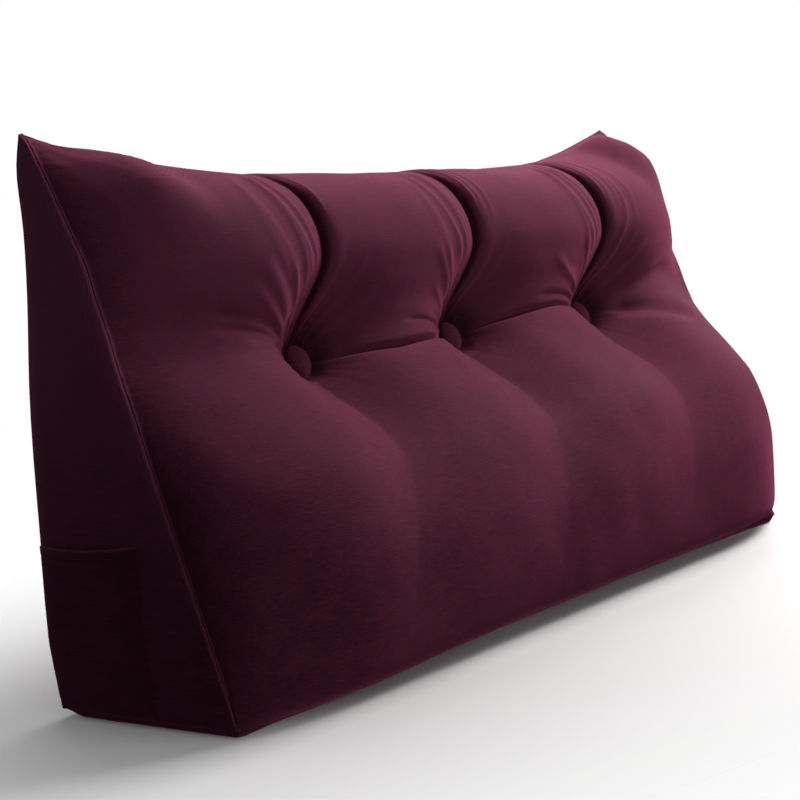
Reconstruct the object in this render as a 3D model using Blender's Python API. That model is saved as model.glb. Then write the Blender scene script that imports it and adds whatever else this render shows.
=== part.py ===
"""Wedge backrest pillow, tufted with three covered buttons.

X runs along the pillow, the tufted face looks towards -Y, and Z is up. The origin is the middle of
the flat base. The filled cushion is one closed body. The two end panels, the patch pocket on the left
end and the covered buttons are pieces of their own, a hair's gap away from what carries them.
"""

from collections import namedtuple

import bmesh
import bpy
import numpy as np
from mathutils import Matrix, Vector
from mathutils.bvhtree import BVHTree

# Driving dimensions, in metres
LENGTH = 1.0
HEIGHT = 0.5
DEPTH = 0.2
CLOTH = 0.002
GAP = 0.0003

# The base's middle lies half the depth in front of the back plane
BACK_Y = DEPTH / 2
# The end seams lean in towards the top corners by this much
EAR_INSET = 0.0137
# How far the filling pushes each end panel out, and how flat that crown is: 1 is a soft dome
END_CROWN = 0.008
CROWN_FLAT = 0.55

# Places of the three buttons along the pillow, as they were sewn
BUTTON_X = (-0.2545, -0.0058, 0.2582)
BUTTON_RADIUS = 0.0155
BUTTON_HEIGHT = 0.009
BUTTON_SIDES = 24
BUTTON_RINGS = 6
# The share of a button's height at which it is widest
BUTTON_RIM = 0.24
# Depth of a button's seat under the untufted face, and the flat it presses into the cloth
SEAT_DEPTH = 0.0530
SEAT_RADIUS = 0.0200
SEAT_BLEND = 0.016
# How fast the well round a button rises
WELL_RISE = 0.032

# The round shoulder that the filling makes in front of each ear. side is -1 at the left end and 1 at
# the right, lift how far it stands out, row and rows where it centres and how many rows it spans, and
# away and reach its distance from the end seam and its half width.
Shoulder = namedtuple("Shoulder", "side lift row rows away reach")
SHOULDERS = (
    Shoulder(-1, 0.016, 14.4, 2.4, 0.060, 0.066),
    Shoulder(1, 0.0195, 14.8, 2.6, 0.050, 0.060),
)
# The left third of the lower front edge has settled
SETTLE_DROP = 0.007
SETTLE_X = -0.38
SETTLE_REACH = 0.26
SETTLE_ROWS = 2.0

# The share of a fold's depth that is spread over the whole roll beside it, and how far that reaches
ROLL_SHARE = 0.35
ROLL_REACH = 0.125

# The pinched fold that joins the buttons, and how it fades past the outer ones
PINCH_DEPTH = 0.014
PINCH_BELOW = 0.30
PINCH_ABOVE = 0.42
PINCH_FADE = 0.10

# Patch pocket on the left end. Its mouth stands at POCKET_TOP, rises by the tilt towards the front and
# sags between its corners. Its front edge lies ahead of the end's middle, and its other edges lie
# inside the panel's seams by the inset. The folded hem doubles the cloth along the mouth.
POCKET_TOP = 0.1500
POCKET_TILT = 0.0035
POCKET_SAG = 0.0055
POCKET_FRONT = 0.0150
POCKET_INSET = 0.0016
POCKET_HEM = 0.009
POCKET_CLOTH = 0.0015
POCKET_GAP = 0.0006
HEM_CLOTH = 0.0026
# The share of the pocket's height in which its cloth thickens into the hem
HEM_STEP = 0.004

# Mesh fineness: columns between two sewn lines, and points round a section
SPAN_COLUMNS = 18
BELLY_POINTS = 18
ROLL_POINTS = 18
BACK_POINTS = 8
BASE_POINTS = 8
END_RINGS = 5
# The last ring's share of the way to an end's middle point, and the pocket's own columns and rows
LAST_RING = 0.893
POCKET_COLUMNS = 12
POCKET_ROWS = 10
# Edges sharper than this stay crisp, in degrees
CRISP_EDGE = 50

# One row of the tufted face, from the lower front seam up to the top seam. forward and up place the
# full section between the buttons, seam_forward and seam_up the end seam, as shares of DEPTH and
# HEIGHT. reach and rise are how far from the end seam the section stands fully forward and up, in
# metres, and fullness is how roundly it gets there: 0.5 is an ellipse and 1 a parabola. dip, width
# and soft shape the fold in line with each button: its depth and half width in metres, and 0.5 for
# a slit to 2 for a trough. lean is how far the fold lies left of its button, in metres.
FaceRow = namedtuple(
    "FaceRow",
    "name forward up seam_forward seam_up reach rise fullness dip width soft lean",
)
FACE = (
    FaceRow("front seam", 1.020, 0.021, 1.003, 0.017, 0.18, 0.18, 0.50, 0.000, 0.10, 2.00, 0.060),
    FaceRow("undercut", 1.167, 0.041, 0.975, 0.056, 0.18, 0.18, 0.50, 0.000, 0.10, 2.00, 0.060),
    FaceRow("foot", 1.228, 0.090, 0.943, 0.096, 0.18, 0.18, 0.50, 0.001, 0.11, 2.00, 0.060),
    FaceRow("low belly", 1.273, 0.170, 0.883, 0.170, 0.18, 0.18, 0.50, 0.003, 0.11, 2.00, 0.058),
    FaceRow("belly", 1.292, 0.250, 0.816, 0.250, 0.18, 0.18, 0.50, 0.006, 0.11, 2.00, 0.052),
    FaceRow("high belly", 1.260, 0.320, 0.758, 0.320, 0.18, 0.18, 0.50, 0.010, 0.11, 2.00, 0.038),
    FaceRow("brow", 1.180, 0.394, 0.694, 0.394, 0.18, 0.18, 0.50, 0.017, 0.11, 1.90, 0.014),
    FaceRow("slope", 1.035, 0.460, 0.637, 0.460, 0.18, 0.18, 0.60, 0.026, 0.10, 1.60, 0.000),
    FaceRow("shelf", 0.850, 0.528, 0.578, 0.528, 0.18, 0.18, 0.75, 0.036, 0.09, 1.10, 0.000),
    FaceRow("waist", 0.685, 0.600, 0.510, 0.600, 0.20, 0.20, 1.00, 0.044, 0.07, 0.65, 0.000),
    FaceRow("roll foot", 0.665, 0.650, 0.472, 0.650, 0.20, 0.20, 1.00, 0.046, 0.05, 0.50, 0.000),
    FaceRow("roll", 0.710, 0.714, 0.412, 0.714, 0.18, 0.20, 0.80, 0.051, 0.05, 0.50, -0.003),
    FaceRow("crest", 0.728, 0.776, 0.360, 0.774, 0.18, 0.20, 0.75, 0.051, 0.05, 0.50, -0.005),
    FaceRow("shoulder", 0.663, 0.840, 0.276, 0.836, 0.18, 0.20, 0.65, 0.044, 0.05, 0.50, -0.004),
    FaceRow("brim", 0.530, 0.886, 0.196, 0.894, 0.18, 0.28, 0.55, 0.026, 0.06, 0.60, -0.002),
    FaceRow("top", 0.350, 0.909, 0.115, 0.948, 0.18, 0.38, 0.70, 0.012, 0.05, 0.80, 0.000),
    FaceRow("top back", 0.160, 0.911, 0.053, 0.986, 0.22, 0.38, 1.00, 0.004, 0.05, 1.00, 0.000),
    FaceRow("top seam", 0.020, 0.894, 0.006, 1.003, 0.22, 0.38, 1.00, 0.000, 0.05, 1.00, 0.000),
)
WAIST_ROW = 9

# The back and the base, from the top seam down and forward to the front seam, in the same columns
# without the folds
PlainRow = namedtuple("PlainRow", "name forward up seam_forward seam_up reach rise fullness")
BACK = (
    PlainRow("top seam", 0.020, 0.894, 0.006, 1.003, 0.22, 0.38, 1.00),
    PlainRow("under the seam", -0.035, 0.850, -0.015, 0.937, 0.22, 0.38, 0.90),
    PlainRow("upper back", -0.070, 0.740, 0.010, 0.840, 0.20, 0.30, 0.60),
    PlainRow("high back", -0.090, 0.580, 0.008, 0.720, 0.18, 0.20, 0.50),
    PlainRow("middle back", -0.095, 0.400, -0.025, 0.540, 0.18, 0.18, 0.50),
    PlainRow("low back", -0.085, 0.220, -0.035, 0.320, 0.18, 0.18, 0.50),
    PlainRow("heel", -0.060, 0.090, -0.040, 0.130, 0.14, 0.14, 0.50),
    PlainRow("back seam", -0.015, 0.020, -0.002, 0.016, 0.10, 0.10, 0.50),
)
BASE = (
    PlainRow("back seam", -0.015, 0.020, -0.002, 0.016, 0.10, 0.10, 0.50),
    PlainRow("back edge", 0.040, 0.003, 0.060, 0.016, 0.04, 0.006, 0.50),
    PlainRow("flat back", 0.120, 0.000, 0.200, 0.016, 0.04, 0.006, 0.50),
    PlainRow("flat middle", 0.500, 0.000, 0.500, 0.015, 0.04, 0.006, 0.50),
    PlainRow("flat front", 0.890, 0.000, 0.890, 0.015, 0.04, 0.006, 0.50),
    PlainRow("front edge", 0.945, 0.002, 1.003, 0.016, 0.40, 0.006, 0.90),
    PlainRow("front seam", 1.020, 0.021, 1.003, 0.017, 0.18, 0.18, 0.50),
)

# Square to the plain wedge's face, which runs from the front seam to the top seam. The buttons are
# pulled in along it.
OUTWARD = Vector((0.0, -HEIGHT, DEPTH)).normalized()
# Where the cushion's own end lies, under the end panel and the gap
CUSHION_END = LENGTH / 2 - CLOTH - GAP


def column(table, name):
    return np.array([getattr(row, name) for row in table])


def smooth_read(values, at):
    """Reads a smooth curve through values, one a row, at the row numbers in at."""
    last = len(values) - 1
    padded = np.concatenate(([2 * values[0] - values[1]], values, [2 * values[-1] - values[-2]]))
    low = np.minimum(at.astype(int), last - 1)
    share = at - low
    before, start, end, after = (padded[low + step] for step in range(4))
    bend = 2 * before - 5 * start + 4 * end - after
    turn = 3 * (start - end) + after - before
    return start + 0.5 * share * (end - before + share * (bend + share * turn))


def swell(away, reach, fullness):
    """0 on the end seam, 1 where the section is full."""
    left = 1 - np.clip(away / reach, 0, 1)
    return (1 - left**2) ** fullness


def ear_lean(z):
    """How far an end seam leans in at height z."""
    return EAR_INSET * (z / HEIGHT) ** 3


def plain_face(table, x, at):
    """Points of one face before tufting, at the places x and the row numbers at."""
    rows = np.arange(len(table))
    away = CUSHION_END - np.abs(x)
    fullness = np.interp(at, rows, column(table, "fullness"))
    out = swell(away, np.interp(at, rows, column(table, "reach")), fullness)
    raised = swell(away, np.interp(at, rows, column(table, "rise")), fullness)
    seam_forward = smooth_read(column(table, "seam_forward"), at)
    seam_up = smooth_read(column(table, "seam_up"), at)
    forward = seam_forward + out * (smooth_read(column(table, "forward"), at) - seam_forward)
    up = seam_up + raised * (smooth_read(column(table, "up"), at) - seam_up)
    up = np.maximum(up, 0)
    across = x * (1 - ear_lean(up * HEIGHT) / CUSHION_END)
    return np.stack((across, BACK_Y - forward * DEPTH, up * HEIGHT), axis=-1)


def hump(distance, reach):
    """1 in the middle, falling smoothly to 0 at the reach."""
    return np.clip(1 - (distance / reach) ** 2, 0, 1) ** 2


def filled_face(x, at):
    """Points of the face with its shoulders and its settled edge, before tufting."""
    points = plain_face(FACE, x, at)
    away = CUSHION_END - np.abs(x)
    for shoulder in SHOULDERS:
        lift = hump(at - shoulder.row, shoulder.rows) * hump(away - shoulder.away, shoulder.reach)
        lift *= shoulder.lift * np.sqrt(0.5) * np.clip(away / shoulder.away, 0, 1) ** 0.5
        lift *= shoulder.side * x > 0
        points[..., 1] -= lift
        points[..., 2] += lift
    settle = SETTLE_DROP * hump(at, SETTLE_ROWS) * hump(x - SETTLE_X, SETTLE_REACH)
    points[..., 2] -= settle * (away > 0)
    return points


def button_seat(x):
    """The middle of a button's seat."""
    waist = plain_face(FACE, np.array([x]), np.array([float(WAIST_ROW)]))[0]
    return Vector(waist) - SEAT_DEPTH * OUTWARD


def fold_depth(x, at, plain):
    """How deep the sewing pulls the face in. Folds that meet never go below a button's seat."""
    rows = np.arange(len(FACE))
    dip = np.interp(at, rows, column(FACE, "dip"))
    width = np.interp(at, rows, column(FACE, "width"))
    soft = np.interp(at, rows, column(FACE, "soft"))
    lean = smooth_read(column(FACE, "lean"), at)
    left = np.ones_like(x)
    for button_x in BUTTON_X:
        aside = np.abs(x - button_x + lean)
        near = 1 - np.clip(aside / width, 0, 1)
        beside = 1 - np.clip(aside / ROLL_REACH, 0, 1)
        fold = (1 - ROLL_SHARE) * (1 - (1 - near**2) ** soft) + ROLL_SHARE * beside**2
        left *= 1 - dip / SEAT_DEPTH * fold
        seat_top = plain_face(FACE, np.array([button_x]), np.array([float(WAIST_ROW)]))[0]
        radius = np.linalg.norm(plain - seat_top, axis=-1)
        left *= 1 - np.exp(-np.maximum(radius - BUTTON_RADIUS, 0) / WELL_RISE)
    past = np.maximum(np.maximum(BUTTON_X[0] - x, x - BUTTON_X[-1]), 0)
    along = np.clip(1 - past / PINCH_FADE, 0, 1) ** 2
    steps = at - WAIST_ROW
    across = np.exp(-np.abs(steps) / np.where(steps < 0, PINCH_BELOW, PINCH_ABOVE))
    left *= 1 - PINCH_DEPTH / SEAT_DEPTH * along * across
    return SEAT_DEPTH * (1 - left)


def tufted_face(x, at):
    """Points of the tufted face, with its folds and the flat seats of the buttons."""
    plain = filled_face(x, at)
    outward = np.array(OUTWARD)
    points = plain - fold_depth(x, at, plain)[..., None] * outward
    for button_x in BUTTON_X:
        from_seat = points - np.array(button_seat(button_x))
        height = from_seat @ outward
        sideways = np.linalg.norm(from_seat - height[..., None] * outward, axis=-1)
        pressed = np.clip(1 - (sideways - SEAT_RADIUS) / SEAT_BLEND, 0, 1)
        pressed = pressed**2 * (3 - 2 * pressed)
        points = points - (pressed * height)[..., None] * outward
    return points


def toward_end(count):
    """Shares from 0 to 1 that crowd at 1."""
    return np.sin(np.pi / 2 * np.arange(count) / count)


def column_places():
    """Places along the pillow, crowded at the end seams and at the buttons."""
    lines = (-CUSHION_END, *BUTTON_X, CUSHION_END)
    places = []
    for start, end in zip(lines, lines[1:]):
        share = (1 - np.cos(np.pi * np.arange(SPAN_COLUMNS) / SPAN_COLUMNS)) / 2
        places.extend(start + (end - start) * share)
    return np.array([*places, CUSHION_END])


def section_rows():
    """Row numbers round one section: up the face, down the back and along the base."""
    below = WAIST_ROW * toward_end(BELLY_POINTS)
    above_rows = len(FACE) - 1 - WAIST_ROW
    above = WAIST_ROW + above_rows * (1 - np.cos(np.pi / 2 * np.arange(ROLL_POINTS) / ROLL_POINTS))
    back = np.linspace(0, len(BACK) - 1, BACK_POINTS, endpoint=False)
    base = np.linspace(0, len(BASE) - 1, BASE_POINTS, endpoint=False)
    return np.concatenate((below, above)), back, base


def sections(x):
    """Rings of points round the cushion, one for each place in x."""
    face_rows, back_rows, base_rows = section_rows()
    face = tufted_face(*np.meshgrid(x, face_rows, indexing="ij"))
    back = plain_face(BACK, *np.meshgrid(x, back_rows, indexing="ij"))
    base = plain_face(BASE, *np.meshgrid(x, base_rows, indexing="ij"))
    return np.concatenate((face, back, base), axis=1)


def seam_gap(points, seam):
    """Distance of each point from a seam's line, looking along the pillow."""
    starts = seam[:-1, None, 1:]
    steps = seam[1:, None, 1:] - starts
    from_start = points[None, :, 1:] - starts
    share = (from_start * steps).sum(axis=-1) / (steps**2).sum(axis=-1)
    nearest = from_start - np.clip(share, 0, 1)[..., None] * steps
    return np.linalg.norm(nearest, axis=-1).min(axis=0)


def crown_rise(points, rim):
    """0 along the three seams of an end, rising smoothly to 1 where it stands out furthest."""
    face_rows, back_rows, _ = section_rows()
    corners = (0, len(face_rows), len(face_rows) + len(back_rows), len(rim))
    closed = np.concatenate((rim, rim[:1]))
    rise = np.ones(len(points))
    for first, last in zip(corners, corners[1:]):
        rise *= seam_gap(points, closed[first:last + 1])
    return (rise / rise.max()) ** CROWN_FLAT


def crown_points(rim, side):
    """Rings of a low crown over an end, from just inside the rim to its middle point."""
    middle = rim.mean(axis=0)
    shares = LAST_RING * np.arange(1, END_RINGS + 1) / END_RINGS
    rings = [rim + share * (middle - rim) for share in shares]
    points = np.concatenate((*rings, [middle]))
    crown = END_CROWN * crown_rise(points, rim)
    points[:, 0] = side * (CUSHION_END - ear_lean(points[:, 2]) + crown)
    return points


def crown_faces(rim, inside, count):
    """Triangles of a crown, whose rim starts at point rim and whose inner rings start at inside."""
    starts = [rim, *(inside + ring * count for ring in range(END_RINGS))]
    faces = []
    for outer, inner in zip(starts, starts[1:]):
        for step in range(count):
            after = (step + 1) % count
            faces.append((outer + step, outer + after, inner + after))
            faces.append((outer + step, inner + after, inner + step))
    middle = inside + END_RINGS * count
    faces += [(starts[-1] + step, starts[-1] + (step + 1) % count, middle) for step in range(count)]
    return faces


def finish(name, mesh, colour, roughness):
    """Makes an object of the mesh, shaded smooth, with a cloth material of its own."""
    mesh.shade_smooth()
    mesh.set_sharp_from_angle(angle=np.radians(CRISP_EDGE))
    material = bpy.data.materials.new(name)
    material.use_nodes = True
    surface = material.node_tree.nodes["Principled BSDF"]
    surface.inputs["Base Color"].default_value = (*colour, 1.0)
    surface.inputs["Roughness"].default_value = roughness
    surface.inputs["Metallic"].default_value = 0.0
    mesh.materials.append(material)
    piece = bpy.data.objects.new(name, mesh)
    bpy.context.scene.collection.objects.link(piece)
    return piece


def mesh_of(name, points, faces):
    """A mesh with its faces turned to point out."""
    mesh = bpy.data.meshes.new(name)
    mesh.from_pydata([tuple(point) for point in points], [], faces)
    shape = bmesh.new()
    shape.from_mesh(mesh)
    bmesh.ops.recalc_face_normals(shape, faces=shape.faces)
    shape.to_mesh(mesh)
    shape.free()
    return mesh


def bridge(first, second, count):
    """Faces between two rings of count points that start at the numbers first and second."""
    return [
        (first + step, first + (step + 1) % count, second + (step + 1) % count, second + step)
        for step in range(count)
    ]


def make_cushion():
    """The filled body: one loft of sections, closed by a low crown at each end."""
    rings = sections(column_places())
    places, count = rings.shape[:2]
    left = crown_points(rings[0], -1)
    right = crown_points(rings[-1], 1)
    points = np.concatenate((*rings, left, right))
    faces = []
    for ring in range(places - 1):
        faces += bridge(ring * count, (ring + 1) * count, count)
    faces += crown_faces(0, places * count, count)
    faces += crown_faces((places - 1) * count, places * count + len(left), count)
    return finish("cushion", mesh_of("cushion", points, faces), (0.062, 0.011, 0.024), 0.85)


def make_end_panel(name, side):
    """The sewn end panel: a sheet over the cushion's end crown, the gap away from it."""
    rim = sections(np.array([side * CUSHION_END]))[0]
    count = len(rim)
    inner = np.concatenate((rim, crown_points(rim, side)))
    inner[:, 0] += side * GAP
    outer = inner + np.array((side * CLOTH, 0, 0))
    size = len(inner)
    faces = crown_faces(0, count, count)
    faces += [tuple(size + corner for corner in face) for face in faces]
    faces += bridge(0, size, count)
    points = np.concatenate((inner, outer))
    return finish(name, mesh_of(name, points, faces), (0.048, 0.008, 0.019), 0.88)


def pocket_edge(table, z):
    """Where the end seam of a table that runs downwards stands at height z."""
    return BACK_Y - DEPTH * np.interp(
        z / HEIGHT, np.sort(column(table, "seam_up")), column(table, "seam_forward")[::-1]
    )


def make_pocket(panel):
    """A flat patch on the left panel, sewn on but for its hemmed mouth, which sags."""
    skin = BVHTree.FromPolygons(
        [point.co for point in panel.data.vertices], [face.vertices for face in panel.data.polygons]
    )
    base_z = HEIGHT * BASE[0].seam_up + POCKET_INSET
    hem_share = 1 - POCKET_HEM / (POCKET_TOP - base_z)
    heights = [*np.linspace(0, hem_share, POCKET_ROWS), hem_share + HEM_STEP, 1.0]
    inner = []
    outer = []
    for height in heights:
        for step in range(POCKET_COLUMNS + 1):
            share = step / POCKET_COLUMNS
            mouth = POCKET_TOP + POCKET_TILT * (1 - share) - POCKET_SAG * np.sin(np.pi * share)
            z = base_z + height * (mouth - base_z)
            front = BACK_Y - DEPTH / 2 - POCKET_FRONT
            back = pocket_edge(BACK, z) - POCKET_INSET
            y = front + share * (back - front)
            on_panel = skin.ray_cast(Vector((-LENGTH, y, z)), Vector((1, 0, 0)))[0]
            x = on_panel.x - POCKET_GAP
            thickness = HEM_CLOTH if height > hem_share else POCKET_CLOTH
            inner.append((x, y, z))
            outer.append((x - thickness, y, z))
    size = len(inner)
    wide = POCKET_COLUMNS + 1
    faces = []
    for row in range(len(heights) - 1):
        for step in range(POCKET_COLUMNS):
            corner = row * wide + step
            faces.append((corner, corner + 1, corner + wide + 1, corner + wide))
    faces += [tuple(size + corner for corner in face[::-1]) for face in faces]
    top = (len(heights) - 1) * wide
    rim = [*range(POCKET_COLUMNS), *range(POCKET_COLUMNS, top + POCKET_COLUMNS, wide)]
    rim += [*range(top + POCKET_COLUMNS, top, -1), *range(top, 0, -wide)]
    for corner, after in zip(rim, rim[1:] + rim[:1]):
        faces.append((corner, after, size + after, size + corner))
    mesh = mesh_of("pocket_left", inner + outer, faces)
    return finish("pocket_left", mesh, (0.044, 0.007, 0.017), 0.88)


def make_button(name, x):
    """A cloth-covered button: a flat back, a rolled rim and a domed front, turned about its axis."""
    # Shares of the radius and the height, from the back's middle out to the rim
    profile = [(0.0, 0.0), (0.86, 0.0), (0.97, 0.10), (1.0, BUTTON_RIM)]
    for step in range(1, BUTTON_RINGS):
        angle = np.pi / 2 * step / BUTTON_RINGS
        profile.append((np.cos(angle), BUTTON_RIM + (1 - BUTTON_RIM) * np.sin(angle)))
    profile.append((0.0, 1.0))
    shape = bmesh.new()
    ends = [
        shape.verts.new((share * BUTTON_RADIUS, 0, up * BUTTON_HEIGHT)) for share, up in profile
    ]
    edges = [shape.edges.new(pair) for pair in zip(ends, ends[1:])]
    bmesh.ops.spin(
        shape,
        geom=ends + edges,
        cent=(0, 0, 0),
        axis=(0, 0, 1),
        angle=2 * np.pi,
        steps=BUTTON_SIDES,
        use_duplicate=False,
    )
    bmesh.ops.remove_doubles(shape, verts=shape.verts, dist=1e-5)
    bmesh.ops.recalc_face_normals(shape, faces=shape.faces)
    mesh = bpy.data.meshes.new(name)
    shape.to_mesh(mesh)
    shape.free()
    piece = finish(name, mesh, (0.040, 0.007, 0.016), 0.80)
    turn = OUTWARD.to_track_quat("Z", "Y").to_matrix().to_4x4()
    piece.matrix_world = Matrix.Translation(button_seat(x) + GAP * OUTWARD) @ turn
    return piece


def main():
    for old in list(bpy.data.objects):
        bpy.data.objects.remove(old, do_unlink=True)
    make_cushion()
    left_panel = make_end_panel("end_panel_left", -1)
    make_end_panel("end_panel_right", 1)
    make_pocket(left_panel)
    for name, x in zip(("button_left", "button_middle", "button_right"), BUTTON_X):
        make_button(name, x)


main()
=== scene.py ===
"""Velvet looks for a tufted wedge backrest pillow.

X runs along the pillow, the tufted face looks towards -Y and Z is up, all in metres. The
cushion, the end panels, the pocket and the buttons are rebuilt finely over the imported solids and
stand for them.
"""

import math
from collections import namedtuple

import bmesh
import bpy
import numpy as np
from bpy.props import FloatProperty, FloatVectorProperty, PointerProperty
from bpy.types import Operator, Panel, PropertyGroup
from mathutils import Matrix, Vector
from mathutils.bvhtree import BVHTree


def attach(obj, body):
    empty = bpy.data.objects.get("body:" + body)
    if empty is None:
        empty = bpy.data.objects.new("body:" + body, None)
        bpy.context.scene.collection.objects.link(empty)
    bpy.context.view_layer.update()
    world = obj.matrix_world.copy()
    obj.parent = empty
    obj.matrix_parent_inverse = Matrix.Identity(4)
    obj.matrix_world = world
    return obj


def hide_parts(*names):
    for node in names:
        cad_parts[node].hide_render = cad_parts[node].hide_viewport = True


bl_info = {
    "name": "Tufted Wedge Pillow",
    "version": (1, 0, 0),
    "blender": (4, 5, 0),
    "location": "View3D > Sidebar > Pillow",
    "description": "Builds a velvet wedge backrest pillow with covered buttons and a studio stage",
    "category": "Add Mesh",
}

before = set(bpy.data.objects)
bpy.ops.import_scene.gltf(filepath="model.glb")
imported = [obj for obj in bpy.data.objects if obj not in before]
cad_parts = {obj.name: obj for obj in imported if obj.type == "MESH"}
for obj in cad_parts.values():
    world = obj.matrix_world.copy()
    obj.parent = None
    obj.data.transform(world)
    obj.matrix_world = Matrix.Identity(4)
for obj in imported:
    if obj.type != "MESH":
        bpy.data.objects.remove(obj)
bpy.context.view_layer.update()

# Places of the three buttons along the pillow, as they were sewn, and one between two of them
BUTTON_X = (-0.2545, -0.0058, 0.2582)
BETWEEN_BUTTONS = 0.126
# The row of the face that the buttons sit in
WAIST_ROW = 9

# One row of the tufted face, from the lower front seam up to the top seam. forward and up place
# the full section between the buttons, seam_forward and seam_up the end seam, as shares of the
# depth and the height. reach and rise are how far from the end seam the section stands fully
# forward and up, and fullness is how roundly it gets there. dip, width and soft shape the fold in
# line with each button, and lean is how far it lies left of the button.
FaceRow = namedtuple(
    "FaceRow",
    "name forward up seam_forward seam_up reach rise fullness dip width soft lean",
)
FACE = (
    FaceRow("front seam", 1.020, 0.021, 1.003, 0.017, 0.18, 0.18, 0.50, 0.000, 0.10, 2.00, 0.060),
    FaceRow("undercut", 1.167, 0.041, 0.975, 0.056, 0.18, 0.18, 0.50, 0.000, 0.10, 2.00, 0.060),
    FaceRow("foot", 1.228, 0.090, 0.943, 0.096, 0.18, 0.18, 0.50, 0.001, 0.11, 2.00, 0.060),
    FaceRow("low belly", 1.273, 0.170, 0.883, 0.170, 0.18, 0.18, 0.50, 0.003, 0.11, 2.00, 0.058),
    FaceRow("belly", 1.292, 0.250, 0.816, 0.250, 0.18, 0.18, 0.50, 0.006, 0.11, 2.00, 0.052),
    FaceRow("high belly", 1.260, 0.320, 0.758, 0.320, 0.18, 0.18, 0.50, 0.010, 0.11, 2.00, 0.038),
    FaceRow("brow", 1.180, 0.394, 0.694, 0.394, 0.18, 0.18, 0.50, 0.017, 0.11, 1.90, 0.014),
    FaceRow("slope", 1.035, 0.460, 0.637, 0.460, 0.18, 0.18, 0.60, 0.026, 0.10, 1.60, 0.000),
    FaceRow("shelf", 0.850, 0.528, 0.578, 0.528, 0.18, 0.18, 0.75, 0.036, 0.09, 1.10, 0.000),
    FaceRow("waist", 0.685, 0.600, 0.510, 0.600, 0.20, 0.20, 1.00, 0.044, 0.07, 0.65, 0.000),
    FaceRow("roll foot", 0.665, 0.650, 0.472, 0.650, 0.20, 0.20, 1.00, 0.046, 0.05, 0.50, 0.000),
    FaceRow("roll", 0.710, 0.714, 0.412, 0.714, 0.18, 0.20, 0.80, 0.051, 0.05, 0.50, -0.003),
    FaceRow("crest", 0.728, 0.776, 0.360, 0.774, 0.18, 0.20, 0.75, 0.051, 0.05, 0.50, -0.005),
    FaceRow("shoulder", 0.663, 0.840, 0.276, 0.836, 0.18, 0.20, 0.65, 0.044, 0.05, 0.50, -0.004),
    FaceRow("brim", 0.530, 0.886, 0.196, 0.894, 0.18, 0.28, 0.55, 0.026, 0.06, 0.60, -0.002),
    FaceRow("top", 0.350, 0.909, 0.115, 0.948, 0.18, 0.38, 0.70, 0.012, 0.05, 0.80, 0.000),
    FaceRow("top back", 0.160, 0.911, 0.053, 0.986, 0.22, 0.38, 1.00, 0.004, 0.05, 1.00, 0.000),
    FaceRow("top seam", 0.020, 0.894, 0.006, 1.003, 0.22, 0.38, 1.00, 0.000, 0.05, 1.00, 0.000),
)

# The back and the base, from the top seam down and forward to the front seam, in the same columns
# without the folds
PlainRow = namedtuple("PlainRow", "name forward up seam_forward seam_up reach rise fullness")
BACK = (
    PlainRow("top seam", 0.020, 0.894, 0.006, 1.003, 0.22, 0.38, 1.00),
    PlainRow("under the seam", -0.035, 0.850, -0.015, 0.937, 0.22, 0.38, 0.90),
    PlainRow("upper back", -0.070, 0.740, 0.010, 0.840, 0.20, 0.30, 0.60),
    PlainRow("high back", -0.090, 0.580, 0.008, 0.720, 0.18, 0.20, 0.50),
    PlainRow("middle back", -0.095, 0.400, -0.025, 0.540, 0.18, 0.18, 0.50),
    PlainRow("low back", -0.085, 0.220, -0.035, 0.320, 0.18, 0.18, 0.50),
    PlainRow("heel", -0.060, 0.090, -0.040, 0.130, 0.14, 0.14, 0.50),
    PlainRow("back seam", -0.015, 0.020, -0.002, 0.016, 0.10, 0.10, 0.50),
)
BASE = (
    PlainRow("back seam", -0.015, 0.020, -0.002, 0.016, 0.10, 0.10, 0.50),
    PlainRow("back edge", 0.040, 0.003, 0.060, 0.016, 0.04, 0.006, 0.50),
    PlainRow("flat back", 0.120, 0.000, 0.200, 0.016, 0.04, 0.006, 0.50),
    PlainRow("flat middle", 0.500, 0.000, 0.500, 0.015, 0.04, 0.006, 0.50),
    PlainRow("flat front", 0.890, 0.000, 0.890, 0.015, 0.04, 0.006, 0.50),
    PlainRow("front edge", 0.945, 0.002, 1.003, 0.016, 0.40, 0.006, 0.90),
    PlainRow("front seam", 1.020, 0.021, 1.003, 0.017, 0.18, 0.18, 0.50),
)

# The round shoulder that the filling makes in front of each ear. side is -1 at the left end and
# 1 at the right, lift how far it stands out, row and rows where it centres and how many rows it
# spans, and away and reach its distance from the end seam and its half width.
Shoulder = namedtuple("Shoulder", "side lift row rows away reach")
SHOULDERS = (
    Shoulder(-1, 0.016, 14.4, 2.4, 0.060, 0.066),
    Shoulder(1, 0.0195, 14.8, 2.6, 0.050, 0.060),
)

# How far the lower front seam has settled at the left: the drop, the rows it fades over, and where
# along the pillow it is deepest and how far it reaches
Settling = namedtuple("Settling", "drop rows x reach")
SETTLED_SEAM = Settling(0.007, 2.0, -0.38, 0.26)

# Soft changes by row: where the cloth begins to bridge the folds of the upper rolls, where their
# right side turns steep, and where painted shade lies in them, up to its end under the top seam
RowFade = namedtuple("RowFade", "row rows")
BRIDGED = RowFade(9.8, 2.0)
STEEPER = RowFade(9.6, 1.6)
PAINTED_SHADE_FROM = RowFade(9.6, 1.0)
PAINTED_SHADE_TO = RowFade(16.6, 1.6)

# The folds in line with the buttons, each the sum of a narrow and a wide part, by share and reach
FoldPart = namedtuple("FoldPart", "share reach")
NARROW_FOLD_SHARE = 0.65
WIDE_FOLD = FoldPart(0.35, 0.125)
SLIT_SHARE = 0.84
SLIT_FOOT = FoldPart(0.16, 0.075)
PRESSED_EDGE = 0.011

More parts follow.
